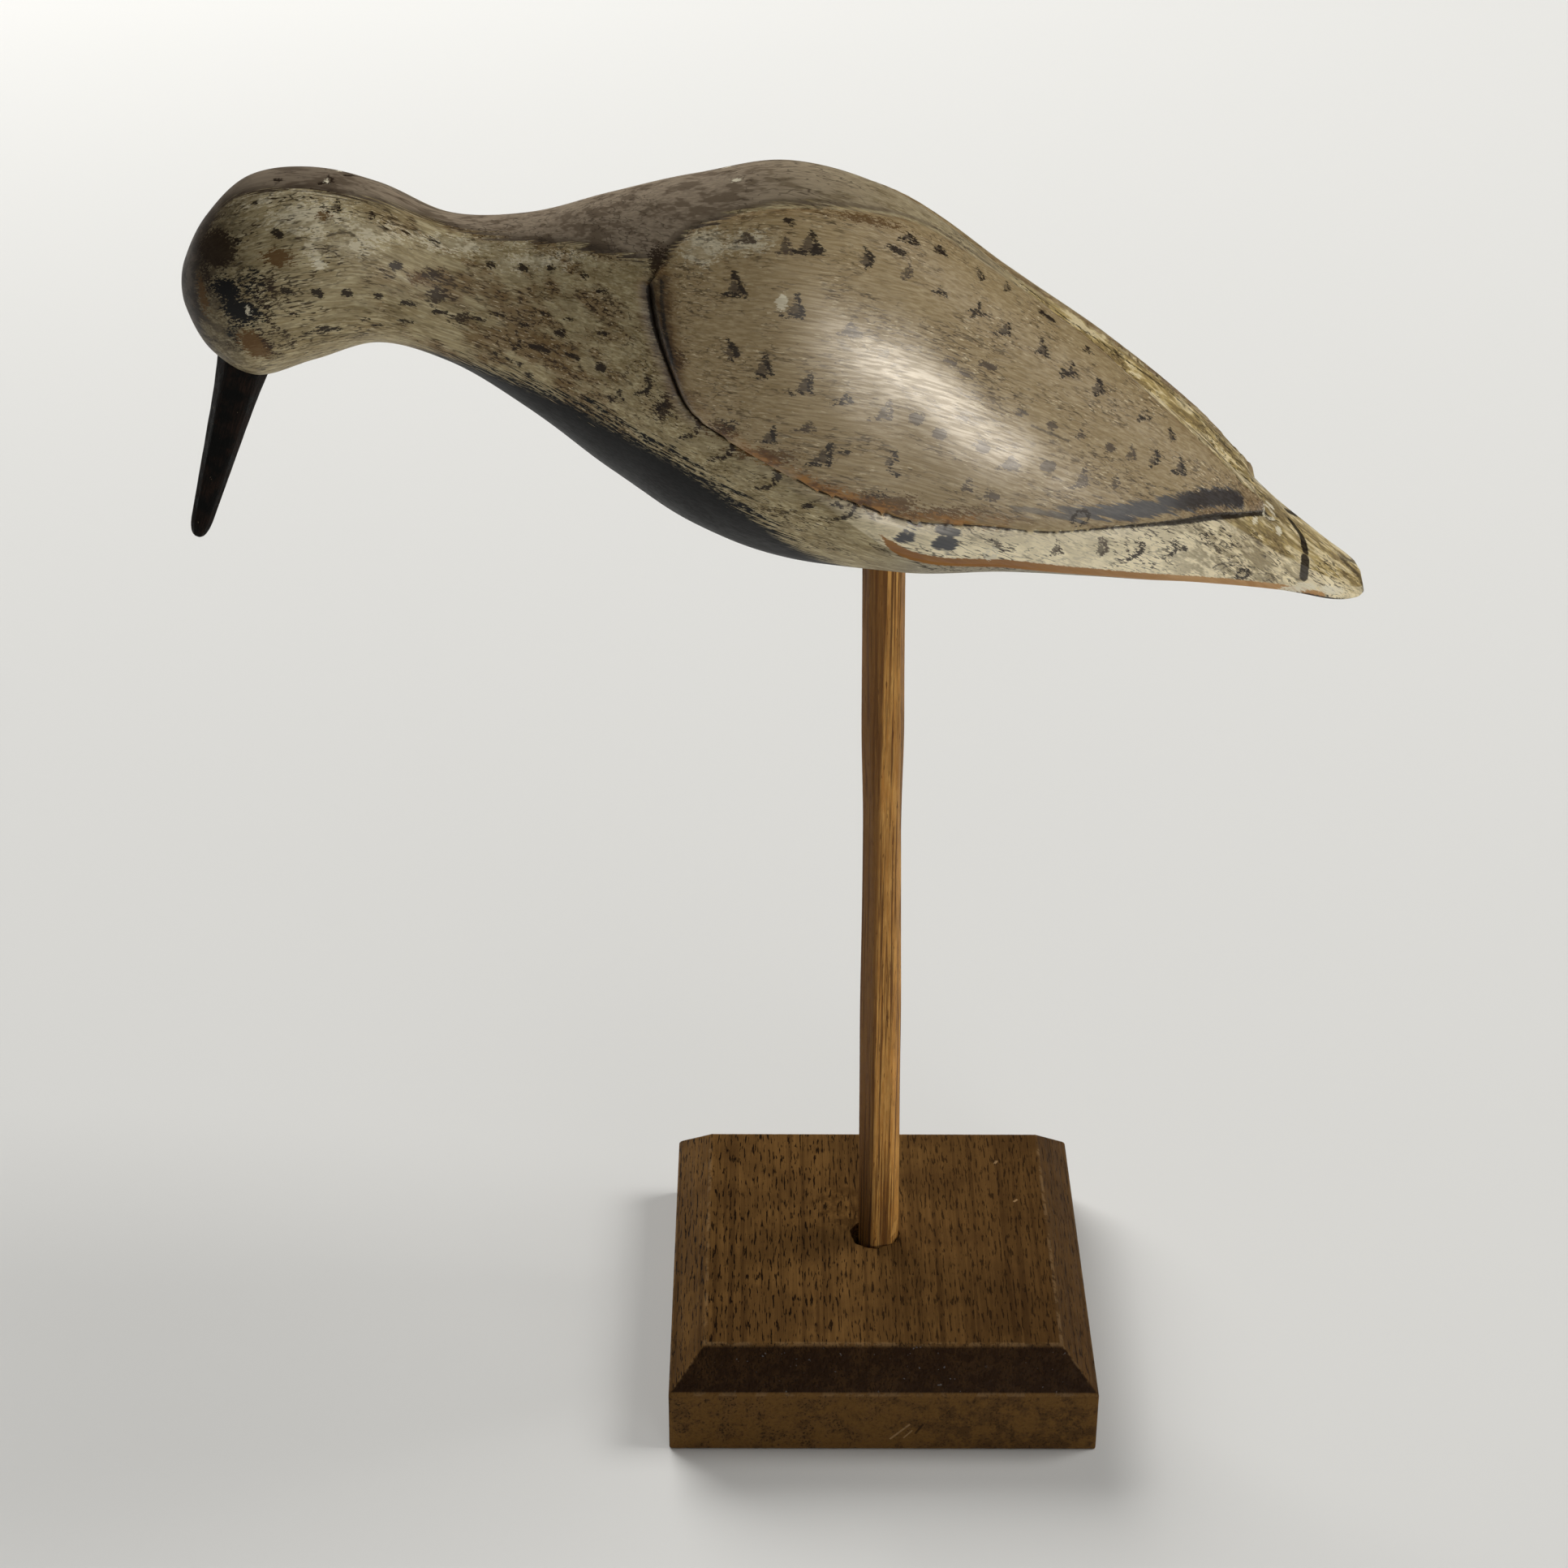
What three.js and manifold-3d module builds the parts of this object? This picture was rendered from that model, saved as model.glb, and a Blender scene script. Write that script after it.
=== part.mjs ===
// A shorebird decoy on its stand: a bird carved from one block, its bill, the whittled stick that
// holds it up and a square chamfered base. Millimetres, +Z up, the head towards -X.
// The origin is the middle of the base's underside.

import * as THREE from 'three';
import { mergeVertices } from 'three/addons/utils/BufferGeometryUtils.js';
import Module from 'manifold-3d';

const wasm = await Module();
wasm.setup();

// Driving dimensions: the base and the stick
const baseWidth = 89;
const baseHeight = 22;
const baseChamfer = 7.5;
const stickDiameter = 8.6;
const stickShown = 164;         // from the base's top to the bird's belly
const stickLean = 0.7;          // degrees, towards the head
const stickInBird = 20;
const woodUnderStick = 8;       // left in the base below the stick's foot
const stickNeck = 0.4;          // how much it was whittled away below the neck
const holeClearance = 0.3;

// Driving dimensions: the bird
const birdLength = 222;         // forehead to tail end
const wingRise = 1.3;           // the wing's lower edge above the flank
const mantleStep = 0.5;         // the wing's upper edge above the back
const tipRise = 2.2;            // the crest of each wing tip above the rump
const channelDepth = 2.2;       // the V between the wing tips, below the back
const wingRoot = 3;             // how far a wing's slab reaches into the body
const grooveWidth = 2.4;        // the knife cut ahead of the wing
const grooveDepth = 1.3;

// Driving dimensions: the bill
const billLength = 37.5;
const billWidth = 10;
const billThickness = 8;
const billTilt = 18;            // degrees forward of straight down
const billInHead = 9;
const billSunk = 0.8;           // its root section, above the head's underside
const billRootAlong = -55;      // where it leaves the head, in hundredths of the bird's length

// How finely the round forms are divided
const bodyAround = 40;
const bodyAlong = 58;
const wingAlong = 26;
const wingAcross = 7;
const grooveAlong = 20;
const channelAlong = 16;
const channelAcross = 6;
const billAround = 12;
const billAlong = 12;
const stickSides = 12;

const percent = birdLength / 100;
const bellyHeight = baseHeight + stickShown;
const stickInBase = baseHeight - woodUnderStick;
const degree = Math.PI / 180;

// The carved bird's sections from forehead to tail end, in hundredths of its length.
// along: from the stick's hole; top, bottom and widest: heights above the belly at that hole.
// keel is 2 for a round underside; smaller values make the widest line a sharp edge.
const sections = [
  { along: -59.5, top: 24.3, bottom: 24.3, widest: 24.3, halfWidth: 0.0, keel: 2 },
  { along: -59.1, top: 26.4, bottom: 22.0, widest: 24.3, halfWidth: 2.3, keel: 2 },
  { along: -57.2, top: 29.8, bottom: 18.5, widest: 23.9, halfWidth: 4.9, keel: 2 },
  { along: -53.6, top: 33.1, bottom: 16.5, widest: 24.5, halfWidth: 6.6, keel: 2 },
  { along: -48.6, top: 33.8, bottom: 18.0, widest: 25.6, halfWidth: 7.2, keel: 2 },
  { along: -43.2, top: 32.6, bottom: 19.5, widest: 25.6, halfWidth: 6.8, keel: 2 },
  { along: -37.4, top: 30.0, bottom: 17.7, widest: 23.9, halfWidth: 6.1, keel: 2 },
  { along: -31.1, top: 30.0, bottom: 13.6, widest: 21.6, halfWidth: 6.8, keel: 2 },
  { along: -24.3, top: 31.7, bottom: 8.2, widest: 19.4, halfWidth: 8.8, keel: 2 },
  { along: -17.1, top: 33.3, bottom: 3.4, widest: 16.8, halfWidth: 11.5, keel: 2 },
  { along: -9.0, top: 34.4, bottom: 0.5, widest: 12.7, halfWidth: 13.5, keel: 1.9 },
  { along: 0.0, top: 31.5, bottom: 0.0, widest: 6.3, halfWidth: 14.0, keel: 1.6 },
  { along: 9.0, top: 24.9, bottom: 0.2, widest: 4.9, halfWidth: 13.3, keel: 1.4 },
  { along: 18.0, top: 18.2, bottom: -0.4, widest: 3.2, halfWidth: 11.7, keel: 1.3 },
  { along: 25.7, top: 11.8, bottom: -0.9, widest: 1.7, halfWidth: 9.7, keel: 1.3 },
  { along: 32.0, top: 5.1, bottom: -1.8, widest: 0.1, halfWidth: 7.7, keel: 1.3 },
  { along: 36.9, top: 0.9, bottom: -3.1, widest: -1.6, halfWidth: 6.0, keel: 1.3 },
  { along: 39.4, top: -1.1, bottom: -3.2, widest: -2.2, halfWidth: 4.5, keel: 1.3 },
  { along: 40.5, top: -1.9, bottom: -3.0, widest: -2.4, halfWidth: 2.8, keel: 1.3 },
];

// One wing's edges from its shoulder to its tip: how far along, and degrees down from the back's
// middle line.
const wingRows = [
  { innerAlong: -19.4, innerDown: 43, outerAlong: -20.6, outerDown: 52 },
  { innerAlong: -19.0, innerDown: 39, outerAlong: -20.1, outerDown: 65 },
  { innerAlong: -17.8, innerDown: 33, outerAlong: -18.9, outerDown: 78 },
  { innerAlong: -15.8, innerDown: 27, outerAlong: -17.3, outerDown: 88 },
  { innerAlong: -12.6, innerDown: 25, outerAlong: -14.0, outerDown: 91 },
  { innerAlong: -8.6, innerDown: 23, outerAlong: -8.8, outerDown: 91 },
  { innerAlong: -3.6, innerDown: 17, outerAlong: -2.7, outerDown: 85 },
  { innerAlong: 2.3, innerDown: 9, outerAlong: 4.1, outerDown: 82 },
  { innerAlong: 9.0, innerDown: 5, outerAlong: 11.7, outerDown: 80 },
  { innerAlong: 14.9, innerDown: 8, outerAlong: 18.5, outerDown: 73 },
  { innerAlong: 20.7, innerDown: 17, outerAlong: 23.4, outerDown: 65 },
  { innerAlong: 25.7, innerDown: 24, outerAlong: 27.7, outerDown: 51 },
  { innerAlong: 28.8, innerDown: 27, outerAlong: 30.2, outerDown: 36 },
  { innerAlong: 30.9, innerDown: 24, outerAlong: 31.3, outerDown: 26 },
];
const crestStart = 0.5;         // shares of the wing's length between which its upper edge rises
const crestFull = 0.92;         // from a low step on the back to the crest of the tip
const channelStart = 0.6;       // shares of the wing's length between which the V deepens
const channelFull = 0.85;
const grooveEnd = 0.55;         // share of the wing's length at which the knife cut runs out
const wingMiddle = new THREE.Vector2(-4, 60);

// Smooth curves through the tables
function curveThrough(rows, first, second, third) {
  const points = rows.map((row) => new THREE.Vector3(row[first], row[second], row[third]));
  return new THREE.CatmullRomCurve3(points, false, 'catmullrom', 0.5);
}

function edgeThrough(rows, along, down) {
  return new THREE.SplineCurve(rows.map((row) => new THREE.Vector2(row[along], row[down])));
}

const heightCurve = curveThrough(sections, 'along', 'top', 'bottom');
const widthCurve = curveThrough(sections, 'widest', 'halfWidth', 'keel');
const innerEdge = edgeThrough(wingRows, 'innerAlong', 'innerDown');
const outerEdge = edgeThrough(wingRows, 'outerAlong', 'outerDown');

function sectionAtShare(share) {
  const heights = heightCurve.getPoint(share);
  const widths = widthCurve.getPoint(share);
  return {
    x: heights.x * percent,
    top: bellyHeight + heights.y * percent,
    bottom: bellyHeight + heights.z * percent,
    widest: bellyHeight + widths.x * percent,
    halfWidth: Math.max(widths.y * percent, 0),
    keel: widths.z,
  };
}

// The section that crosses a place along the bird, found by halving
function sectionAlong(along) {
  let low = 0;
  let high = 1;
  for (let step = 0; step < 30; step += 1) {
    const middle = (low + high) / 2;
    if (heightCurve.getPoint(middle).x < along) low = middle;
    else high = middle;
  }
  return sectionAtShare(low);
}

// A point of a section: angle 0 is the back's middle line, lift stands it off the skin
function skinPoint(section, angle, lift = 0) {
  const across = Math.sin(angle);
  const up = Math.cos(angle);
  const power = up < 0 ? 2 / section.keel : 1;
  const reach = up < 0 ? section.widest - section.bottom : section.top - section.widest;
  const y = (section.halfWidth + lift) * Math.sign(across) * Math.abs(across) ** power;
  const z = section.widest + (reach + lift) * Math.sign(up) * Math.abs(up) ** power;
  return new THREE.Vector3(section.x, y, z);
}

// Solids for joining and cutting, and back again
function solidOf(geometry) {
  const plain = geometry.index ? geometry.toNonIndexed() : geometry.clone();
  plain.deleteAttribute('normal');
  plain.deleteAttribute('uv');
  const merged = mergeVertices(plain, 1e-4);
  return new wasm.Manifold(new wasm.Mesh({
    numProp: 3,
    vertProperties: new Float32Array(merged.attributes.position.array),
    triVerts: new Uint32Array(merged.index.array),
  }));
}

// A solid whose faces point out, whichever way its patch was turned
function outwards(geometry) {
  const solid = solidOf(geometry);
  if (solid.volume() > 0) return solid;
  const turned = geometry.clone();
  const index = turned.index.array;
  for (let i = 0; i < index.length; i += 3) {
    [index[i], index[i + 1]] = [index[i + 1], index[i]];
  }
  return solidOf(turned);
}

function geometryOf(solid) {
  const mesh = solid.getMesh();
  const geometry = new THREE.BufferGeometry();
  geometry.setAttribute('position', new THREE.BufferAttribute(new Float32Array(mesh.vertProperties), 3));
  geometry.setIndex(new THREE.BufferAttribute(new Uint32Array(mesh.triVerts), 1));
  geometry.computeVertexNormals();
  return geometry;
}

// A ball whose rows become sections: place takes the share along and the angle around
function shapedBall(around, along, place) {
  const geometry = new THREE.SphereGeometry(1, around, along);
  const { position, uv } = geometry.attributes;
  for (let i = 0; i < position.count; i += 1) {
    const row = Math.round((1 - uv.getY(i)) * along);
    const column = Math.round(uv.getX(i) * around) % around;
    const point = place(row / along, (column / around) * 2 * Math.PI);
    position.setXYZ(i, point.x, point.y, point.z);
  }
  return geometry;
}

// A block whose length, breadth and depth follow a curved patch
function shapedBlock(lengthwise, across, place) {
  const geometry = new THREE.BoxGeometry(1, 1, 1, lengthwise, across, 1);
  const { position } = geometry.attributes;
  for (let i = 0; i < position.count; i += 1) {
    const point = place(position.getX(i) + 0.5, position.getY(i) + 0.5, position.getZ(i) > 0);
    position.setXYZ(i, point.x, point.y, point.z);
  }
  return geometry;
}

function upright(geometry) {
  return geometry.rotateX(Math.PI / 2);
}

// The stick leans as one line through both of its holes
const lean = new THREE.Matrix4().makeTranslation(0, 0, baseHeight)
  .multiply(new THREE.Matrix4().makeRotationY(-stickLean * degree));

// The rod is full at both ends and a little whittled away between these shares of its height
function stickRod() {
  const radius = stickDiameter / 2;
  const bottom = -stickInBase;
  const top = stickShown + stickInBird;
  const profile = [
    new THREE.Vector2(0, bottom),
    new THREE.Vector2(radius, bottom),
    new THREE.Vector2(radius, stickShown * 0.3),
    new THREE.Vector2(radius - stickNeck, stickShown * 0.62),
    new THREE.Vector2(radius, stickShown * 0.76),
    new THREE.Vector2(radius, top),
    new THREE.Vector2(0, top),
  ];
  const rod = upright(new THREE.LatheGeometry(profile, stickSides));
  return rod.applyMatrix4(lean);
}

// A plain round hole for the stick, wide of its flats
function stickHole() {
  const length = stickInBase + stickShown + stickInBird + 2 * holeClearance;
  const hole = upright(new THREE.CylinderGeometry(
    stickDiameter / 2 + holeClearance,
    stickDiameter / 2 + holeClearance,
    length,
    2 * stickSides,
  ));
  hole.translate(0, 0, length / 2 - stickInBase - holeClearance);
  return solidOf(hole.applyMatrix4(lean));
}

// The bill's axis starts where it leaves the head's underside and points forward and down
const billRoot = new THREE.Vector3(billRootAlong * percent, 0, sectionAlong(billRootAlong).bottom + billSunk);
const billAxis = new THREE.Vector3(-Math.sin(billTilt * degree), 0, -Math.cos(billTilt * degree));
const billSide = new THREE.Vector3(Math.cos(billTilt * degree), 0, -Math.sin(billTilt * degree));

// Share of the full section at a distance from the head: a tapered plug inside it, a slight flare
// over the first third outside, an even taper, and a rounded tip over the last tenth
function billTaper(distance) {
  if (distance < 0) return 1 + 0.35 * (distance / billInHead);
  const share = distance / billLength;
  const flare = Math.max(1 - share / 0.3, 0) ** 2;
  const rounding = Math.sqrt(1 - THREE.MathUtils.clamp((share - 0.9) / 0.1, 0, 1) ** 2);
  return (0.92 + 0.08 * flare - 0.56 * share) * (0.35 + 0.65 * rounding);
}

// The bill, or with a clearance the hole for it; rows crowd towards the tip
function billSolid(clearance, start, end) {
  return shapedBall(billAround, billAlong, (share, angle) => {
    const row = THREE.MathUtils.clamp((share * billAlong - 1) / (billAlong - 2), 0, 1);
    const distance = start + (end - start) * Math.sin((row * Math.PI) / 2);
    const pole = share === 0 || share === 1;
    const size = pole ? 0 : billTaper(distance);
    const grown = pole ? 0 : clearance;
    return billRoot.clone()
      .addScaledVector(billAxis, distance)
      .addScaledVector(billSide, (size * billWidth / 2 + grown) * Math.cos(angle))
      .add(new THREE.Vector3(0, (size * billThickness / 2 + grown) * Math.sin(angle), 0));
  });
}

// How far a wing's upper edge stands off the skin
function crestRise(share) {
  return THREE.MathUtils.lerp(mantleStep, tipRise, THREE.MathUtils.smoothstep(share, crestStart, crestFull));
}

// One wing: a curved slab that starts inside the bird and stands a little off its skin
function wingSlab(side) {
  return shapedBlock(wingAlong, wingAcross, (share, across, outside) => {
    const place = innerEdge.getPoint(share).lerp(outerEdge.getPoint(share), across);
    const lift = outside ? THREE.MathUtils.lerp(crestRise(share), wingRise, across) : -wingRoot;
    return skinPoint(sectionAlong(place.x), side * place.y * degree, lift);
  });
}

// The V-shaped channel between the wing tips, from each crest down to the back's middle line
function tipChannel() {
  const clear = 2;              // the cutter's top, above the skin
  return shapedBlock(channelAlong, channelAcross, (portion, across, outside) => {
    const share = THREE.MathUtils.lerp(channelStart, 1, portion);
    const edge = innerEdge.getPoint(share);
    const aside = 2 * across - 1;
    const deepening = THREE.MathUtils.smoothstep(share, channelStart, channelFull);
    const rising = THREE.MathUtils.smoothstep(share, crestFull, 1);
    const depth = channelDepth * deepening * (1 - rising) - 0.01;
    const floor = THREE.MathUtils.lerp(-depth, 0.01, Math.abs(aside));
    return skinPoint(sectionAlong(edge.x), aside * edge.y * degree, outside ? clear : floor);
  });
}

// The V-shaped knife cut just outside the front and lower edge of a wing: deepest at the wing,
// its floor climbs out through the skin away from it and at both ends.
function wingGroove(side) {
  const clear = 2;              // the cutter's top, above the skin
  const rim = 0.3;              // its floor's outer edge, above the skin
  const overlap = 0.1;          // share of its width under the wing
  return shapedBlock(grooveAlong, 1, (share, across, outside) => {
    const edge = outerEdge.getPoint(share * grooveEnd);
    const girth = sectionAlong(edge.x).halfWidth;
    const away = edge.clone().sub(wingMiddle).multiply(new THREE.Vector2(percent, degree * girth));
    away.setLength(grooveWidth * (1 + rim / grooveDepth)).multiplyScalar(across - overlap);
    const along = edge.x + away.x / percent;
    const down = edge.y * degree + away.y / girth;
    const fade = Math.min(share / 0.15, 1) * (1 - share ** 2);
    const floor = THREE.MathUtils.lerp(-grooveDepth * fade, rim, across);
    return skinPoint(sectionAlong(along), side * down, outside ? clear : floor);
  });
}

function carvedBird() {
  let bird = solidOf(shapedBall(bodyAround, bodyAlong, (share, angle) => {
    const section = sectionAtShare(share);
    if (share === 1) return new THREE.Vector3(section.x, 0, section.widest);
    return skinPoint(section, angle);
  }));
  bird = bird.subtract(outwards(tipChannel()));
  for (const side of [-1, 1]) {
    bird = bird.subtract(outwards(wingGroove(side)));
    bird = bird.add(outwards(wingSlab(side)));
  }
  bird = bird.subtract(stickHole());
  bird = bird.subtract(outwards(billSolid(holeClearance, -billInHead - holeClearance, billWidth / 2)));
  return geometryOf(bird);
}

// A square block with a chamfer mitred round its top
function chamferedBase() {
  const corner = Math.SQRT2;
  const profile = [
    new THREE.Vector2(0, 0),
    new THREE.Vector2((baseWidth / 2) * corner, 0),
    new THREE.Vector2((baseWidth / 2) * corner, baseHeight - baseChamfer),
    new THREE.Vector2((baseWidth / 2 - baseChamfer) * corner, baseHeight),
    new THREE.Vector2(0, baseHeight),
  ];
  const block = upright(new THREE.LatheGeometry(profile, 4, Math.PI / 4));
  return geometryOf(outwards(block).subtract(stickHole()));
}

// Finishes
const paintedWood = new THREE.MeshStandardMaterial({ color: 0x857c68, roughness: 0.55, metalness: 0 });
const blackBill = new THREE.MeshStandardMaterial({ color: 0x1d1714, roughness: 0.45, metalness: 0 });
const paleStick = new THREE.MeshStandardMaterial({ color: 0xa06c35, roughness: 0.6, metalness: 0 });
const darkWalnut = new THREE.MeshStandardMaterial({ color: 0x4e3920, roughness: 0.55, metalness: 0 });

function piece(name, geometry, material) {
  const mesh = new THREE.Mesh(geometry, material);
  mesh.name = name;
  return mesh;
}

const decoy = new THREE.Group();
decoy.add(piece('decoy_body', carvedBird(), paintedWood));
decoy.add(piece('bill', geometryOf(outwards(billSolid(0, -billInHead, billLength))), blackBill));
decoy.add(piece('stick', geometryOf(outwards(stickRod())), paleStick));
decoy.add(piece('base', chamferedBase(), darkWalnut));

export default decoy;
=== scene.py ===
# A painted shorebird decoy on its stick and walnut block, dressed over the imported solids

import math

import bpy
import numpy as np
from mathutils import Matrix, Vector, noise


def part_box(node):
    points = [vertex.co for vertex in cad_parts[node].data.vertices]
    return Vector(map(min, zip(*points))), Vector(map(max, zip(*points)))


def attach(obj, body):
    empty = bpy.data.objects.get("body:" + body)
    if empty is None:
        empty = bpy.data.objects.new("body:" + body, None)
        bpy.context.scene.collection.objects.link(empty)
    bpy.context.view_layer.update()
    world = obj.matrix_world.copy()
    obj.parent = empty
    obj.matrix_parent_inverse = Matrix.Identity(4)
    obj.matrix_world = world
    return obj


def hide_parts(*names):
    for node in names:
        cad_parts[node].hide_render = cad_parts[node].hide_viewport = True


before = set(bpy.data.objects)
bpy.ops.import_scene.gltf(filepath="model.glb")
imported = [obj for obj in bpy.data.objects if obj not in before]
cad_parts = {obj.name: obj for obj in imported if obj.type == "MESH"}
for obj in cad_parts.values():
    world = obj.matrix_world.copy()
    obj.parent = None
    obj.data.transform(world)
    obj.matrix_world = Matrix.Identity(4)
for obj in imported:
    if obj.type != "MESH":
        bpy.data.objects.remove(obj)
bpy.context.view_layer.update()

mm = 0.001
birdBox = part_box("decoy_body")
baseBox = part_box("base")
percent = (birdBox[1].x - birdBox[0].x) / mm / 100     # a hundredth of the bird's length, in mm


# Small helps for modelling

def deselectAll():
    if bpy.context.object and bpy.context.object.mode != "OBJECT":
        bpy.ops.object.mode_set(mode="OBJECT")
    bpy.ops.object.select_all(action="DESELECT")


def takeUp(piece):
    deselectAll()
    piece.select_set(True)
    bpy.context.view_layer.objects.active = piece


def readPoints(piece):
    points = np.empty(len(piece.data.vertices) * 3)
    piece.data.vertices.foreach_get("co", points)
    return points.reshape(-1, 3)


def writePoints(piece, points):
    piece.data.vertices.foreach_set("co", points.astype(np.float32).ravel())
    piece.data.update()


def settle(piece):
    takeUp(piece)
    bpy.ops.object.transform_apply(location=True, rotation=True, scale=True)


def applyAll(piece):
    takeUp(piece)
    for modifier in list(piece.modifiers):
        bpy.ops.object.modifier_apply(modifier=modifier.name)


def turnFacesOut(piece):
    takeUp(piece)
    bpy.ops.object.mode_set(mode="EDIT")
    bpy.ops.mesh.select_all(action="SELECT")
    bpy.ops.mesh.normals_make_consistent(inside=False)
    bpy.ops.object.mode_set(mode="OBJECT")


def smoothBelow(piece, degrees):
    takeUp(piece)
    bpy.ops.object.shade_smooth_by_angle(angle=math.radians(degrees))


def cutWith(piece, cutter):
    cut = piece.modifiers.new("cut", "BOOLEAN")
    cut.operation = "DIFFERENCE"
    cut.solver = "MANIFOLD"      # it keeps the stored paint fields
    cut.object = cutter
    applyAll(piece)
    bpy.data.objects.remove(cutter)


def smoothStep(values, low, high):
    share = np.clip((values - low) / (high - low), 0, 1)
    return share * share * (3 - 2 * share)


def roughness3(points, size, seed):
    # a slow hand-made unevenness, from -1 to 1; size in mm
    offset = Vector((seed * 7.3, seed * 3.1, seed * 5.7))
    return np.array([noise.noise(Vector(p) / size + offset) for p in points])


def curveThrough(rows, shares):
    # a smooth line through the rows, as a batten bends through its pins
    rows = np.array(rows, float)
    rows = np.vstack([2 * rows[0] - rows[1], rows, 2 * rows[-1] - rows[-2]])
    place = np.clip(shares, 0, 1) * (len(rows) - 3)
    first = np.minimum(place.astype(int), len(rows) - 4)
    t = (place - first)[:, None]
    a, b, c, d = (rows[first + k] for k in range(4))
    return b + 0.5 * t * (c - a + t * (2 * a - 5 * b + 4 * c - d + t * (3 * (b - c) + d - a)))


# The camera stands where the photograph was taken from

camera = {
    "lens": 73.07,
    "sensor": 36,
    "photo": 1932,                           # pixels each way
    "place": (-24.67, -554.94, 447.14),      # mm
    "down": 29.414,                          # degrees
    "aside": 0.368,
    "roll": 0.342,
}


def setCamera():
    data = bpy.data.cameras.new("camera")
    data.lens = camera["lens"]
    data.sensor_width = camera["sensor"]
    data.clip_start = 0.01
    data.clip_end = 50
    stand = bpy.data.objects.new("camera", data)
    bpy.context.scene.collection.objects.link(stand)
    turn = Matrix.Rotation(math.radians(-camera["aside"]), 4, "Z")
    turn = turn @ Matrix.Rotation(math.radians(90 - camera["down"]), 4, "X")
    turn = turn @ Matrix.Rotation(math.radians(camera["roll"]), 4, "Z")
    stand.matrix_world = Matrix.Translation(Vector(camera["place"]) * mm) @ turn
    bpy.context.scene.camera = stand
    return np.array(stand.matrix_world)


cameraStand = setCamera()


def inPhoto(points):
    # where points in mm fall in the photograph, in its pixels from the top left
    local = (points - cameraStand[:3, 3] / mm) @ cameraStand[:3, :3]
    scale = camera["photo"] * camera["lens"] / camera["sensor"] / -local[:, 2:]
    return camera["photo"] / 2 + scale * local[:, :2] * (1, -1)


print("camera set")


# Node helps: a new node goes into the tree of the sockets that feed it

def addNode(tree, kind, **settings):
    made = tree.nodes.new(kind)
    for name, value in settings.items():
        setattr(made, name, value)
    return made


def isSocket(value):
    return isinstance(value, bpy.types.NodeSocket)


def feed(sockets, values):
    for place, value in values.items():
        socket = sockets[place]
        if isSocket(value):
            socket.id_data.links.new(value, socket)
        else:
            socket.default_value = value


def fedNode(kind, values, **settings):
    # values: what goes into each input, by its place or its name
    tree = next(value.id_data for value in values.values() if isSocket(value))
    made = addNode(tree, kind, **settings)
    feed(made.inputs, values)
    return made.outputs


def maths(operation, a, b=0.0):
    return fedNode("ShaderNodeMath", {0: a, 1: b}, operation=operation)[0]


def plus(a, b):
    return maths("ADD", a, b)


def less(a, b):
    return maths("SUBTRACT", a, b)


def larger(a, b):
    return maths("MAXIMUM", a, b)


def gapFrom(a, b):
    return maths("ABSOLUTE", less(a, b))


def times(*values):
    product = values[0]
    for value in values[1:]:
        product = maths("MULTIPLY", product, value)
    return product


def between(value, low, high, outLow=0.0, outHigh=1.0):
    values = dict(enumerate((value, low, high, outLow, outHigh)))
    return fedNode("ShaderNodeMapRange", values, interpolation_type="SMOOTHSTEP")[0]


def blend(mask, first, second):
    return fedNode("ShaderNodeMix", {0: mask, 6: first, 7: second}, data_type="RGBA")[2]


def coats(colour, look, *rows):
    # shades laid over the colour in turn: each row names one, then the masks that it shows through
    for name, *masks in rows:
        colour = blend(times(*masks), colour, look[name])
    return colour


def resized(vector, factor):
    return fedNode("ShaderNodeVectorMath", {0: vector, "Scale": factor}, operation="SCALE")[0]


def distanceFrom(vector, point):
    return fedNode("ShaderNodeVectorMath", {0: vector, 1: point}, operation="DISTANCE")["Value"]


def stretched(vector, scale, turn=(0, 0, 0)):
    turn = [math.radians(a) for a in turn]
    return fedNode("ShaderNodeMapping", {"Vector": vector, "Scale": scale, "Rotation": turn})[0]


def speckle(vector, scale, detail, rough):
    values = {"Vector": vector, "Scale": scale, "Detail": detail, "Roughness": rough}
    return fedNode("ShaderNodeTexNoise", values)[0]


def streaked(vector, scale, detail, rough, turn=(0, 0, 0)):
    return speckle(stretched(vector, scale, turn), 1.0, detail, rough)


def tint(red, green, blue):
    # a colour as a paint chart gives it, 0 to 255
    linear = [c / 255 / 12.92 if c <= 10 else ((c / 255 + 0.055) / 1.055) ** 2.4 for c in (red, green, blue)]
    return (*linear, 1.0)


def startGroup(name, inputs, outputs):
    # inputs: each one's plain value, or None for a vector
    group = bpy.data.node_groups.new(name, "ShaderNodeTree")
    for label, value in inputs.items():
        kind = "NodeSocketVector" if value is None else "NodeSocketFloat"
        socket = group.interface.new_socket(label, in_out="INPUT", socket_type=kind)
        if value is not None:
            socket.default_value = value
    for label in outputs:
        group.interface.new_socket(label, in_out="OUTPUT", socket_type="NodeSocketFloat")
    return group, group.nodes.new("NodeGroupInput").outputs, group.nodes.new("NodeGroupOutput").inputs


def placeGroup(group, **values):
    return fedNode("ShaderNodeGroup", values, node_tree=group)


# Shared effects: every Vector is in millimetres, with its X along the grain

def makeFlakedEdge():
    # paint that ends in a ragged edge; Field is the distance inside the paint, Ragged how far it strays
    inputs = {"Torn": 0.5, "Field": 0.0, "Ragged": 0.5, "Softness": 0.12}
    group, given, put = startGroup("flakedEdge", inputs, ["Mask"])
    field = plus(given["Field"], times(less(given["Torn"], 0.5), given["Ragged"], 6.0))
    feed(put, {"Mask": between(field, times(given["Softness"], -1.0), given["Softness"])})
    return group


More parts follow.
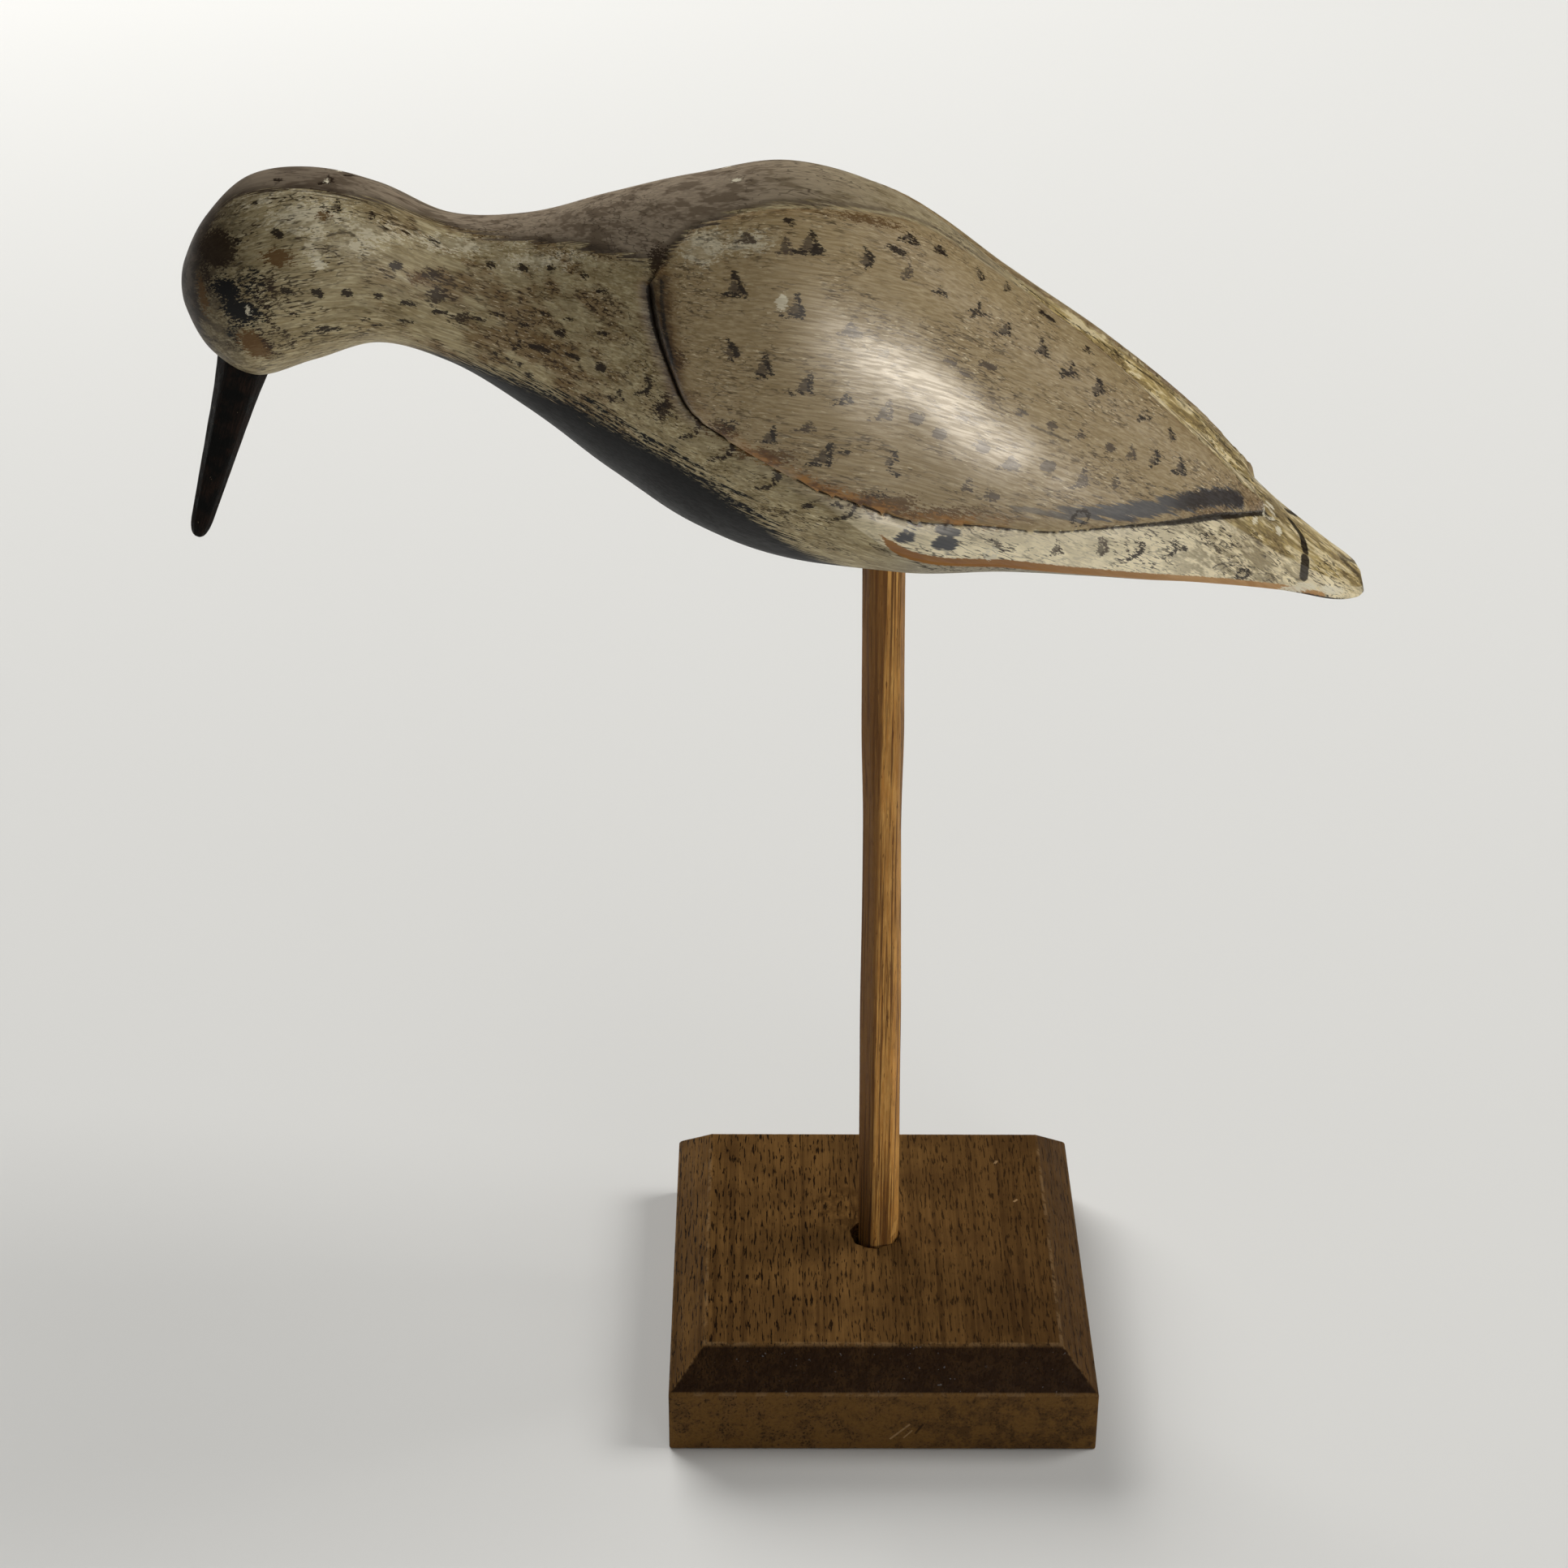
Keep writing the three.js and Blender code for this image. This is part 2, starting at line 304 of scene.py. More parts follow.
def tornPaint(vector):
    # one unevenness for every paint edge on the same place
    return streaked(vector, (0.45, 1.5, 1.3), 3.0, 0.7)


def makeBrushwork():
    # what the brush and the wood under it leave in thin old paint
    masks = ["Streaks", "Bands", "Dashes", "Flecks", "Cracks", "Mottle", "Warmth"]
    group, given, put = startGroup("brushwork", {"Vector": None}, masks)
    skin = given["Vector"]
    warmth = streaked(skin, (0.08, 0.16, 0.14), 3.0, 0.72, (20, 35, 10))
    dashes = streaked(skin, (0.42, 3.0, 3.0), 2.0, 0.55)
    crowded = between(warmth, 0.42, 0.6, 0.2, 1.0)
    wander = gapFrom(streaked(skin, (0.13, 0.62, 0.62), 2.0, 0.65), 0.5)
    feed(put, {
        "Streaks": between(streaked(skin, (0.15, 2.6, 2.6), 1.0, 0.55), 0.3, 0.7),
        "Bands": between(streaked(skin, (0.07, 0.36, 0.3), 3.0, 0.74), 0.40, 0.60),
        "Dashes": times(between(dashes, 0.59, 0.63), crowded),
        "Flecks": times(between(dashes, 0.38, 0.33), crowded),
        "Cracks": times(between(wander, 0.008, 0.03, 1.0, 0.0), crowded),
        "Mottle": between(streaked(skin, (0.2, 0.42, 0.36), 3.0, 0.76), 0.42, 0.6),
        "Warmth": between(warmth, 0.44, 0.6),
    })
    return group


def makeWoodGrain():
    # straight grain along the vector's X, with darker lines and short open pores
    inputs = {"Vector": None, "Width": 1.0, "Pores": 0.5}
    group, given, put = startGroup("woodGrain", inputs, ["Grain", "Lines", "Pores"])
    scaled = resized(given["Vector"], maths("DIVIDE", 1.0, given["Width"]))
    dots = streaked(given["Vector"], (0.24, 2.0, 2.0), 2.0, 0.62)
    low = less(0.72, times(given["Pores"], 0.2))
    feed(put, {
        "Grain": between(streaked(scaled, (0.05, 2.2, 2.2), 3.0, 0.72), 0.36, 0.64),
        "Lines": between(streaked(scaled, (0.012, 0.9, 0.9), 3.0, 0.62), 0.5, 0.6),
        "Pores": between(dots, low, plus(low, 0.05)),
    })
    return group


def makeGrime():
    # handling dirt and dust in slow clouds, with a few pin-head specks
    group, given, put = startGroup("grime", {"Vector": None, "Size": 12.0}, ["Cloud", "Specks"])
    scaled = resized(given["Vector"], maths("DIVIDE", 1.0, given["Size"]))
    feed(put, {
        "Cloud": between(speckle(scaled, 1.0, 3.0, 0.68), 0.4, 0.6),
        "Specks": between(speckle(given["Vector"], 1.1, 1.0, 0.5), 0.71, 0.75),
    })
    return group


flakedEdge = makeFlakedEdge()
brushwork = makeBrushwork()
woodGrain = makeWoodGrain()
grime = makeGrime()


def startMaterial(name):
    material = bpy.data.materials.new(name)
    material.use_nodes = True
    tree = material.node_tree
    return material, tree, tree.nodes["Principled BSDF"].inputs


def objectMillimetres(tree):
    place = addNode(tree, "ShaderNodeTexCoord").outputs["Object"]
    return stretched(place, (1 / mm, 1 / mm, 1 / mm))


def separated(vector):
    return fedNode("ShaderNodeSeparateXYZ", {0: vector})


def grainAlong(vector, order):
    # the same place with another axis first, because grain runs along a vector's X
    parts = separated(vector)
    return fedNode("ShaderNodeCombineXYZ", {k: parts["XYZ".index(axis)] for k, axis in enumerate(order)})[0]


def nearLine(first, second, start, end, width):
    # a thin mark from start to end, in the plane of two coordinates, mm
    length = math.dist(start, end)
    alongX, alongY = ((e - s) / length for s, e in zip(start, end))
    fromX = less(first, start[0])
    fromY = less(second, start[1])
    forward = plus(times(fromX, alongX), times(fromY, alongY))
    aside = less(times(fromX, alongY), times(fromY, alongX))
    past = less(gapFrom(forward, length / 2), length / 2)
    return between(larger(maths("ABSOLUTE", aside), past), width * 0.5, width, 1.0, 0.0)


def dress(piece, material):
    piece.data.materials.clear()
    piece.data.materials.append(material)


def bumped(height, depth):
    return fedNode("ShaderNodeBump", {"Distance": depth * mm, "Strength": 1.0, "Height": height})[0]


# The carved bird

bird = {
    "around": 240,          # how finely its surface is divided
    "along": 396,
    "upperShare": 0.6,      # of the divisions around, those above the widest line
    "bellyHeight": 186,     # the belly at the stick's hole, mm
    "wingRise": 1.3,        # mm, as all below
    "mantleStep": 0.5,
    "tipRise": 2.2,
    "channelDepth": 2.2,
    "grooveWidth": 2.6,
    "grooveDepth": 1.3,
    "wingRound": 1.5,       # how round the wing's front and lower edge was rubbed
    "unevenness": 0.16,
    "drawReach": 0.42,      # points nearer a cut than this share of their spacing are drawn onto it
    "leastSpacing": 0.55,
    # from where to where along the bird, in mm from the stick's hole
    "crest": (3, 63),       # the wing's upper edge rises towards its tip
    "wingFlattens": (10, 50),
    "grooveFades": (-15, 25),
    "grooveThin": 30,
    "channelOpens": (14, 46),
    "channelEnds": (63, 71),
    "tipsEnd": (66.5, 68.5),
    "shoulder": (38, 56),   # degrees down: the groove deepens round the wing's front
}

# how wide each line of paint is, as half widths in mm, and the mm along where it comes and goes
brushed = {
    "keel": 1.05,
    "keelStarts": (-6.2, -1),
    "keelSpreads": (0.2, 5, 30),
    "keelUpper": 0.25,      # the strip is this much narrower above the widest line
    "underStarts": (-8, 5),
    "flankDown": (55, 93),  # degrees down
    "flankStarts": (-24, 8),
    "flankFades": (2.5, 6.5),    # mm from the bare keel
    "tipsStart": (14, 32),
    "cutFront": (0.36, 0.4),     # the cut ahead of the wing: narrowest, and how much wider half way
    "cutWidest": (46, 56, 62, 80),    # degrees down
    "cutBelow": 0.22,
    "cutStarts": (44, 52),
    "cutTip": (0.4, 34, 58),
    "band": (1.5, 12, 50),
    "tailEdge": 0.9,
    "hair": 0.2,
    "ring": 0.32,
    # marks of the small brush
    "seed": 14,
    "lean": 0.25,           # how far a mark may lean either way
    "astray": (1.8, 2.7),   # the far side's marks stray by mm along and degrees down
    "seenDown": 118,        # how far down the near side the photograph shows, degrees
    "away": -6.0,           # what a field holds far from every mark, mm
}

# sections from forehead to tail end, in hundredths of the bird's length:
# along, top, bottom, widest, half width, and how round the underside is (2 is round)
birdSections = [
    (-59.5, 24.3, 24.3, 24.3, 0.0, 2),
    (-59.1, 26.4, 22.0, 24.3, 2.3, 2),
    (-57.2, 29.8, 18.5, 23.9, 4.9, 2),
    (-53.6, 33.1, 16.5, 24.5, 6.6, 2),
    (-48.6, 33.8, 18.0, 25.6, 7.2, 2),
    (-43.2, 32.6, 19.5, 25.6, 6.8, 2),
    (-37.4, 30.0, 17.7, 23.9, 6.1, 2),
    (-31.1, 30.0, 13.6, 21.6, 6.8, 2),
    (-24.3, 31.7, 8.2, 19.4, 8.8, 2),
    (-17.1, 33.3, 3.4, 16.8, 11.5, 2),
    (-9.0, 34.4, 0.5, 12.7, 13.5, 1.9),
    (0.0, 31.5, 0.0, 6.3, 14.0, 1.6),
    (9.0, 24.9, 0.2, 4.9, 13.3, 1.4),
    (18.0, 18.2, -0.4, 3.2, 11.7, 1.3),
    (25.7, 11.8, -0.9, 1.7, 9.7, 1.3),
    (32.0, 5.1, -1.8, 0.1, 7.7, 1.3),
    (36.9, 0.9, -3.1, -1.6, 6.0, 1.3),
    (39.4, -1.1, -3.2, -2.2, 4.5, 1.3),
    (40.5, -1.9, -3.0, -2.4, 2.8, 1.3),
]

# the wing's edges from shoulder to tip: how far along, and degrees down from the back's middle line
wingUpper = [
    (-19.4, 43), (-19.0, 39), (-17.8, 33), (-15.8, 27), (-12.6, 25), (-8.6, 23), (-3.6, 17),
    (2.3, 9), (9.0, 5), (14.9, 8), (20.7, 17), (25.7, 24), (28.8, 27), (30.9, 24),
]
wingLower = [
    (-20.6, 52), (-20.1, 65), (-18.9, 78), (-17.3, 88), (-14.0, 91), (-8.8, 91), (-2.7, 85),
    (4.1, 82), (11.7, 80), (18.5, 73), (23.4, 65), (27.7, 51), (30.2, 36), (31.3, 26),
]


def sectionsAt(shares):
    # the sections in mm, at shares of the way from forehead to tail end
    sections = curveThrough(birdSections, shares)
    sections[:, :5] *= percent
    sections[:, 1:4] += bird["bellyHeight"]
    sections[:, 4] = np.maximum(sections[:, 4], 0)
    return sections


denseShares = np.linspace(0, 1, 6001)
denseSections = sectionsAt(denseShares)


def sectionAlong(along):
    return [np.interp(along, denseSections[:, 0], denseSections[:, k]) for k in range(6)]


def skinPlace(along, down, lift=0.0):
    # a point of the bird's skin: mm along from the hole, degrees down from the back's middle
    return placeOn(sectionAlong(along), down, lift)


def placeOn(section, down, lift=0.0):
    along, top, bottom, widest, halfWidth, keel = section
    aside = np.sin(np.radians(down))
    up = np.cos(np.radians(down))
    power = np.where(up < 0, 2 / keel, 1.0)
    reach = np.where(up < 0, widest - bottom, top - widest)
    y = (halfWidth + lift) * np.sign(aside) * np.abs(aside) ** power
    z = widest + (reach + lift) * np.sign(up) * np.abs(up) ** power
    return np.stack(np.broadcast_arrays(along, y, z), axis=-1)


def lineOn(points, steps=8):
    # a smooth line on the skin through given places (mm along, degrees down)
    return curveThrough(points, np.linspace(0, 1, steps * (len(points) - 1) + 1))


def distanceTo(line, places, reach=25.0):
    # mm from each place to the line, and the nearest (along, down) on it
    ends = skinPlace(line[:, 0], line[:, 1])
    nearest = np.full(len(places), reach)
    spot = np.zeros((len(places), 2))
    close = (places[:, 0] > ends[:, 0].min() - reach) & (places[:, 0] < ends[:, 0].max() + reach)
    index = np.flatnonzero(close)
    here = places[index]
    best = nearest[index]
    bestSpot = spot[index]
    for k in range(len(line) - 1):
        step = ends[k + 1] - ends[k]
        share = np.clip((here - ends[k]) @ step / max(step @ step, 1e-9), 0, 1)
        gap = np.linalg.norm(here - ends[k] - share[:, None] * step, axis=1)
        nearer = gap < best
        best[nearer] = gap[nearer]
        bestSpot[nearer] = line[k] + share[nearer, None] * (line[k + 1] - line[k])
    nearest[index] = best
    spot[index] = bestSpot
    return nearest, spot


def gapTo(points, places, steps=8):
    return distanceTo(lineOn(points, steps), places)[0]


def isInside(outline, along, down):
    inside = np.zeros(len(along), bool)
    before = outline[-1]
    for corner in outline:
        crosses = (corner[1] > down) != (before[1] > down)
        slope = (before[0] - corner[0]) / ((before[1] - corner[1]) or 1e-9)
        inside ^= crosses & (along < slope * (down - corner[1]) + corner[0])
        before = corner
    return inside


def regionOn(boundary, closing, along, down, places):
    # signed mm inside a painted region: boundary is its real edge, closing only shuts it
    gap = gapTo(boundary, places)
    inside = isInside(np.vstack([lineOn(boundary), closing]), along, down)
    return np.where(inside, gap, -gap)


# painted and worn edges, traced: mm along from the hole, degrees down
darkCapEdge = [
    (-127.5, 130), (-127.6, 60), (-125.5, 32), (-122.7, 19), (-114.4, 24), (-107.8, 22), (-100.5, 24),
    (-93.8, 19), (-85.2, 15), (-75.7, 24), (-60.5, 34), (-51.6, 41), (-44, 43), (-38.6, 32),
    (-28, 25), (-8, 17), (5, 9), (20, 5), (34, 9), (44, 15),
]
blackBellyEdge = [
    (-94, 179), (-86, 140), (-74, 120), (-61, 108), (-51.6, 108), (-41.8, 107), (-32.6, 111),
    (-24.9, 117), (-18.4, 127), (-10, 142), (-4, 179),
]
bareKeelEdge = [(-5.0, 88.4), (-2.4, 89.4), (2, 90), (8, 90), (40, 90), (70, 90), (80, 90)]
shadowBand = [(20, 76), (30, 73), (40, 68), (52, 57), (63, 40)]
tailEnd = [(86, 2), (88.8, 20), (89.7, 50), (89.5, 100)]
# dark lines and how wide half of each is, mm
darkLines = [
    ([(-43.4, 50), (-43.4, 58), (-42.8, 66), (-41.6, 75)], 0.34),      # a second cut in the wing's front
    ([(75.1, 8), (77.0, 20), (77.2, 38)], 0.85),                       # the bar over the tail
    ([(77.0, 46), (76.4, 68)], 1.05),
    ([(58.5, 86), (61.5, 79), (66.5, 76)], 0.12),                      # a curled crack
    ([(18, 5), (28, 2), (40, 7), (53, 14), (66, 16)], 0.22),           # the bottom of the tail's channel
    ([(67, 22), (69, 28), (72.5, 24)], 0.16),
    ([(72, 98), (78, 95), (85, 97)], 0.3),
]


def rowsAndColumns(piece):
    # which ring and which column each point of the ball belongs to
    points = readPoints(piece)
    ring = np.rint(np.arccos(np.clip(points[:, 2], -1, 1)) / math.pi * bird["along"]).astype(int)
    turn = np.arctan2(points[:, 0], points[:, 1]) / (2 * math.pi)
    column = np.rint(turn * bird["around"]).astype(int)
    side = np.where(column < 0, 1, -1)
    return ring, np.abs(column), side


def ringShares():
    # rings evenly spaced over the skin, so that the forehead isn't stretched
    steps = np.abs(np.diff(denseSections[:, :5], axis=0))
    walked = np.hypot(steps[:, 0], steps[:, 1:].max(axis=1))
    walked = np.concatenate([[0], np.cumsum(walked)])
    return np.interp(np.linspace(0, walked[-1], bird["along"] + 1), walked, denseShares)


def carveBird():
    deselectAll()
    bpy.ops.mesh.primitive_uv_sphere_add(segments=bird["around"], ring_count=bird["along"], radius=1)
    body = bpy.context.object
    body.name = "paintedDecoy"
    ring, column, side = rowsAndColumns(body)

    # half a skin as a grid: rings along, columns from the back's middle to the belly's
    half = bird["around"] // 2
    upper = int(half * bird["upperShare"])
    downs = np.concatenate([np.linspace(0, 90, upper + 1), np.linspace(90, 180, half - upper + 1)[1:]])
    sections = sectionsAt(ringShares())
    along = np.repeat(sections[:, 0], half + 1)
    down = np.tile(downs, bird["along"] + 1)

    # the rings and columns are drawn onto the wing's edges, so that its cuts run clean
    upperEdge = lineOn([(a * percent, d) for a, d in wingUpper], 12)
    lowerEdge = lineOn([(a * percent, d) for a, d in wingLower], 12)
    places = skinPlace(along, down)
    rings = places.reshape(-1, half + 1, 3)
    spacing = np.linalg.norm(np.diff(rings, axis=1, append=rings[:, -2:-1]), axis=2).ravel()
    drawn = np.zeros(len(along), bool)
    reach = bird["drawReach"] * np.maximum(spacing, bird["leastSpacing"])
    for line in (lowerEdge, upperEdge):
        gap, spot = distanceTo(line, places, 4.0)
        near = (gap < reach) & ~drawn
        along = np.where(near, spot[:, 0], along)
        down = np.where(near, spot[:, 1], down)
        drawn |= near
        places = skinPlace(along, down)
    gridSections = [np.repeat(sections[:, k], half + 1) for k in range(6)]
    gridSections = [np.where(drawn, m, g) for m, g in zip(sectionAlong(along), gridSections)]
    places = placeOn(gridSections, down)

    lowerGap, _ = distanceTo(lowerEdge, places)
    upperGap, _ = distanceTo(upperEdge, places)
    inside = isInside(np.vstack([lowerEdge, upperEdge[::-1]]), along, down)
    lift = carvedLift(along, down, lowerGap, upperGap, inside & ~drawn, upperEdge)
    fields = paintFields(along, down, places, lowerGap, upperGap, inside)

    pick = ring * (half + 1) + column
    signedDown = down[pick] * side
    points = placeOn([g[pick] for g in gridSections], signedDown, lift[pick])
    points[:, 2] += bird["unevenness"] * roughness3(points, 11.0, 1)
    points[:, 1] += bird["unevenness"] * roughness3(points, 9.0, 2)
    writePoints(body, points * mm)
    splitAlongCuts(body, lift[pick], drawn[pick])
    addFields(body, fields, pick, points, side, along[pick], down[pick], places[pick])
    return body


def carvedLift(along, down, lowerGap, upperGap, inside, upperEdge):
    # how far the knife left each point above or below the plain skin, mm
    crest = smoothStep(along, *bird["crest"])
    crestRise = bird["mantleStep"] + (bird["tipRise"] - bird["mantleStep"]) * crest
    across = upperGap / np.maximum(upperGap + lowerGap, 1e-6)
    wingTop = crestRise + (bird["wingRise"] - crestRise) * across
    wingTop = wingTop * (1 - 0.45 * smoothStep(along, *bird["wingFlattens"]) * across)
    rubbed = np.clip(lowerGap / bird["wingRound"], 0, 1)
    rubbed = np.sqrt(1 - (1 - rubbed) ** 2)
    stepped = smoothStep(upperGap, 0, 0.9 + 0.6 * (1 - crest))
    stepped = stepped * (1 - crest) + crest
    fading = 1 - 0.75 * smoothStep(along, *bird["grooveFades"])
    deep = bird["grooveDepth"] * fading * smoothStep(down, *bird["shoulder"])
    deep = np.where(along > bird["grooveThin"], bird["grooveDepth"] * 0.25, deep)
    wing = -deep + (wingTop * stepped + deep) * rubbed
    flank = -deep * np.clip(1 - lowerGap / bird["grooveWidth"], 0, 1) ** 1.2
    inner = np.interp(along, upperEdge[:, 0], upperEdge[:, 1])
    betweenTips = (down < inner) & (along < upperEdge[-1, 0] + 3)
    depth = bird["channelDepth"] * smoothStep(along, *bird["channelOpens"])
    depth = depth * (1 - smoothStep(along, *bird["channelEnds"]))
    near = np.clip(down / np.maximum(inner, 1), 0, 1)
    wall = (crestRise - 0.6) * near * crest * (1 - smoothStep(along, *bird["tipsEnd"]))
    channel = -depth * (1 - near) + wall
    return np.where(inside, wing, np.where(betweenTips, channel + flank, flank))


def splitAlongCuts(body, lift, drawn):
    # each four-sided face is split the way that keeps a cut's line straight
    mesh = body.data
    corners = np.empty(len(mesh.loops), int)
    mesh.loops.foreach_get("vertex_index", corners)
    starts = np.empty(len(mesh.polygons), int)
    mesh.polygons.foreach_get("loop_start", starts)
    totals = np.empty(len(mesh.polygons), int)
    mesh.polygons.foreach_get("loop_total", totals)
    three = starts[totals == 3]
    four = starts[totals == 4]
    triangles = [corners[three[:, None] + [0, 1, 2]]]
    quads = corners[four[:, None] + [0, 1, 2, 3]]
    first, second = (
        np.abs(lift[quads[:, k]] - lift[quads[:, k + 2]])
        + 0.05 * (~drawn[quads[:, k]] | ~drawn[quads[:, k + 2]]) for k in (0, 1))
    keep = first <= second
    triangles.append(quads[keep][:, [0, 1, 2]])
    triangles.append(quads[keep][:, [0, 2, 3]])
    triangles.append(quads[~keep][:, [0, 1, 3]])
    triangles.append(quads[~keep][:, [1, 2, 3]])
    points = readPoints(body)
    mesh.clear_geometry()
    mesh.from_pydata(points.tolist(), [], np.vstack(triangles).tolist())
    mesh.update()


def paintFields(along, down, places, lowerGap, upperGap, inside):
    # where each paint and each worn edge lies, as mm inside it
    def growing(width, start, end):
        return width * smoothStep(along, start, end)

    keelGap = gapTo(bareKeelEdge, places, 20)
    strip = growing(brushed["keel"], *brushed["keelStarts"]) + growing(*brushed["keelSpreads"])
    flankTop, flankLow = brushed["flankDown"]
    flank = ((down > flankTop) & (down < flankLow) & ~inside) * growing(1, *brushed["flankStarts"])
    inner = np.interp(along, [a * percent for a, _ in wingUpper], [d for _, d in wingUpper])
    tip = wingUpper[-1][0] * percent
    tips = ((down < inner) & ~inside) * growing(1, *brushed["tipsStart"])

    # the cut round the wing, painted dark: dirt in its front groove, painted shade in the crack along its
    # lower edge; widest half way down its front, a hair along its lower edge
    widens, wide, narrows, narrow = brushed["cutWidest"]
    widest = smoothStep(down, widens, wide) * (1 - smoothStep(down, narrows, narrow))
    cut = np.where(along < -30, brushed["cutFront"][0] + brushed["cutFront"][1] * widest, brushed["cutBelow"])
    cut = cut * smoothStep(down, *brushed["cutStarts"]) + growing(*brushed["cutTip"])
    lines = np.max([cut - lowerGap] + [width - gapTo(line, places) for line, width in darkLines], axis=0)
    return {
        "edge": np.where(inside, lowerGap, -lowerGap),
        "ridge": np.where(inside, upperGap, -upperGap),
        "cap": regionOn(darkCapEdge, [(44, -1), (-140, -1), (-140, 130)], along, down, places),
        "black": regionOn(blackBellyEdge, [(-4, 181), (-94, 181)], along, down, places),
        "keel": strip - keelGap - np.where(down < 90, brushed["keelUpper"], 0.0),
        "under": np.where(down > 90, 1.0, 0.0) * growing(1, *brushed["underStarts"]),
        "flank": flank * (1 - 0.25 * smoothStep(keelGap, *brushed["flankFades"])),
        "tips": tips * smoothStep(along, tip + 3, tip),
        "lines": lines,
        "band": growing(*brushed["band"]) - gapTo(shadowBand, places),
        "tailEdge": brushed["tailEdge"] - gapTo(tailEnd, places),
    }


# Marks of the small brush on the near side, which the far side repeats a little out of place.
# Each kind lists the middle of every mark in the photograph's pixels, and how tall it is in mm
darkMarks = {
    "flame": [
        (904, 352, 4.4), (981, 373, 4.0), (998, 299, 4.2), (942, 452, 4.0), (992, 471, 3.8),
        (951, 535, 3.2), (1014, 561, 3.8), (1237, 403, 3.0), (1280, 426, 3.4), (1449, 572, 3.2),
        (416, 253, 2.6),
    ],
    "tear": [
        (1066, 315, 3.6), (1205, 336, 2.6), (1238, 352, 2.6), (902, 433, 3.6), (1100, 562, 2.8),
        (1351, 475, 3.6), (1439, 534, 2.6), (1420, 562, 3.2), (459, 265, 1.8),
    ],
    "flat": [
        (1006, 304, 3.4), (1119, 294, 3.4), (1155, 307, 3.0), (1155, 358, 2.4), (1042, 490, 2.8),
        (1337, 428, 2.6),
    ],
    "star": [
        (1202, 382, 3.2), (1316, 456, 3.6), (1407, 511, 2.8), (639, 424, 2.4), (761, 486, 3.0),
        (817, 497, 3.6), (394, 408, 2.4),
    ],
    "comma": [
        (794, 477, 3.4), (854, 530, 3.6), (894, 559, 4.0), (951, 591, 4.0), (1042, 632, 3.2),
        (1401, 675, 3.4), (1445, 677, 2.8), (404, 222, 3.0),
    ],
    "dash": [
        (664, 428, 3.2), (707, 441, 2.2), (744, 359, 1.6), (503, 373, 2.2), (542, 385, 2.0),
        (591, 393, 2.0), (615, 388, 2.2), (647, 399, 1.6), (671, 385, 1.4), (744, 409, 1.8),
        (701, 393, 1.4), (413, 421, 2.6), (394, 420, 1.6), (452, 394, 1.4), (464, 411, 1.6),
        (499, 396, 2.2), (626, 444, 1.6), (613, 434, 1.4), (1041, 553, 2.0), (1103, 580, 1.8),
        (1034, 620, 2.0), (1483, 659, 1.6), (1104, 305, 3.0), (1288, 387, 3.2), (533, 297, 1.8),
        (362, 387, 2.0), (467, 365, 1.6),
    ],
    "blot": [
        (341, 287, 2.4), (354, 359, 2.2), (389, 361, 2.4), (428, 362, 2.2), (467, 365, 1.6),
        (295, 297, 1.4), (606, 326, 1.8), (643, 329, 1.9), (680, 332, 1.6), (720, 340, 1.6),
        (489, 328, 2.4), (740, 454, 2.2), (690, 411, 2.0), (639, 448, 1.4), (652, 460, 1.4),
        (406, 403, 1.2), (378, 414, 1.2), (994, 623, 2.0), (1458, 675, 1.6), (341, 221, 1.6),
        (972, 270, 2.2), (314, 249, 1.4),
    ],
    "block": [(1120, 657, 3.6), (1164, 667, 4.4)],
}
greyMarks = {
    "flame": [(1090, 502, 3.6), (1190, 599, 2.8), (1332, 586, 3.4), (1301, 678, 2.8), (967, 299, 3.4)],
    "tear": [(1392, 559, 3.0), (1216, 607, 2.4), (1371, 593, 2.4), (1117, 336, 3.0), (1359, 672, 3.4)],
    "flat": [
        (1049, 406, 3.6), (1245, 569, 3.8), (1258, 504, 2.4), (1328, 534, 2.6), (1228, 668, 2.2),
        (996, 527, 2.8), (1205, 546, 2.6), (919, 294, 3.6),
    ],
    "blot": [
        (1127, 514, 3.0), (1155, 533, 2.8), (1289, 576, 3.2), (1294, 523, 2.0), (1210, 553, 2.6),
        (1364, 551, 2.4), (1226, 609, 2.4),
    ],
    "dash": [(1184, 517, 2.6), (1170, 444, 2.4), (1190, 460, 2.4), (1213, 448, 3.0)],
}

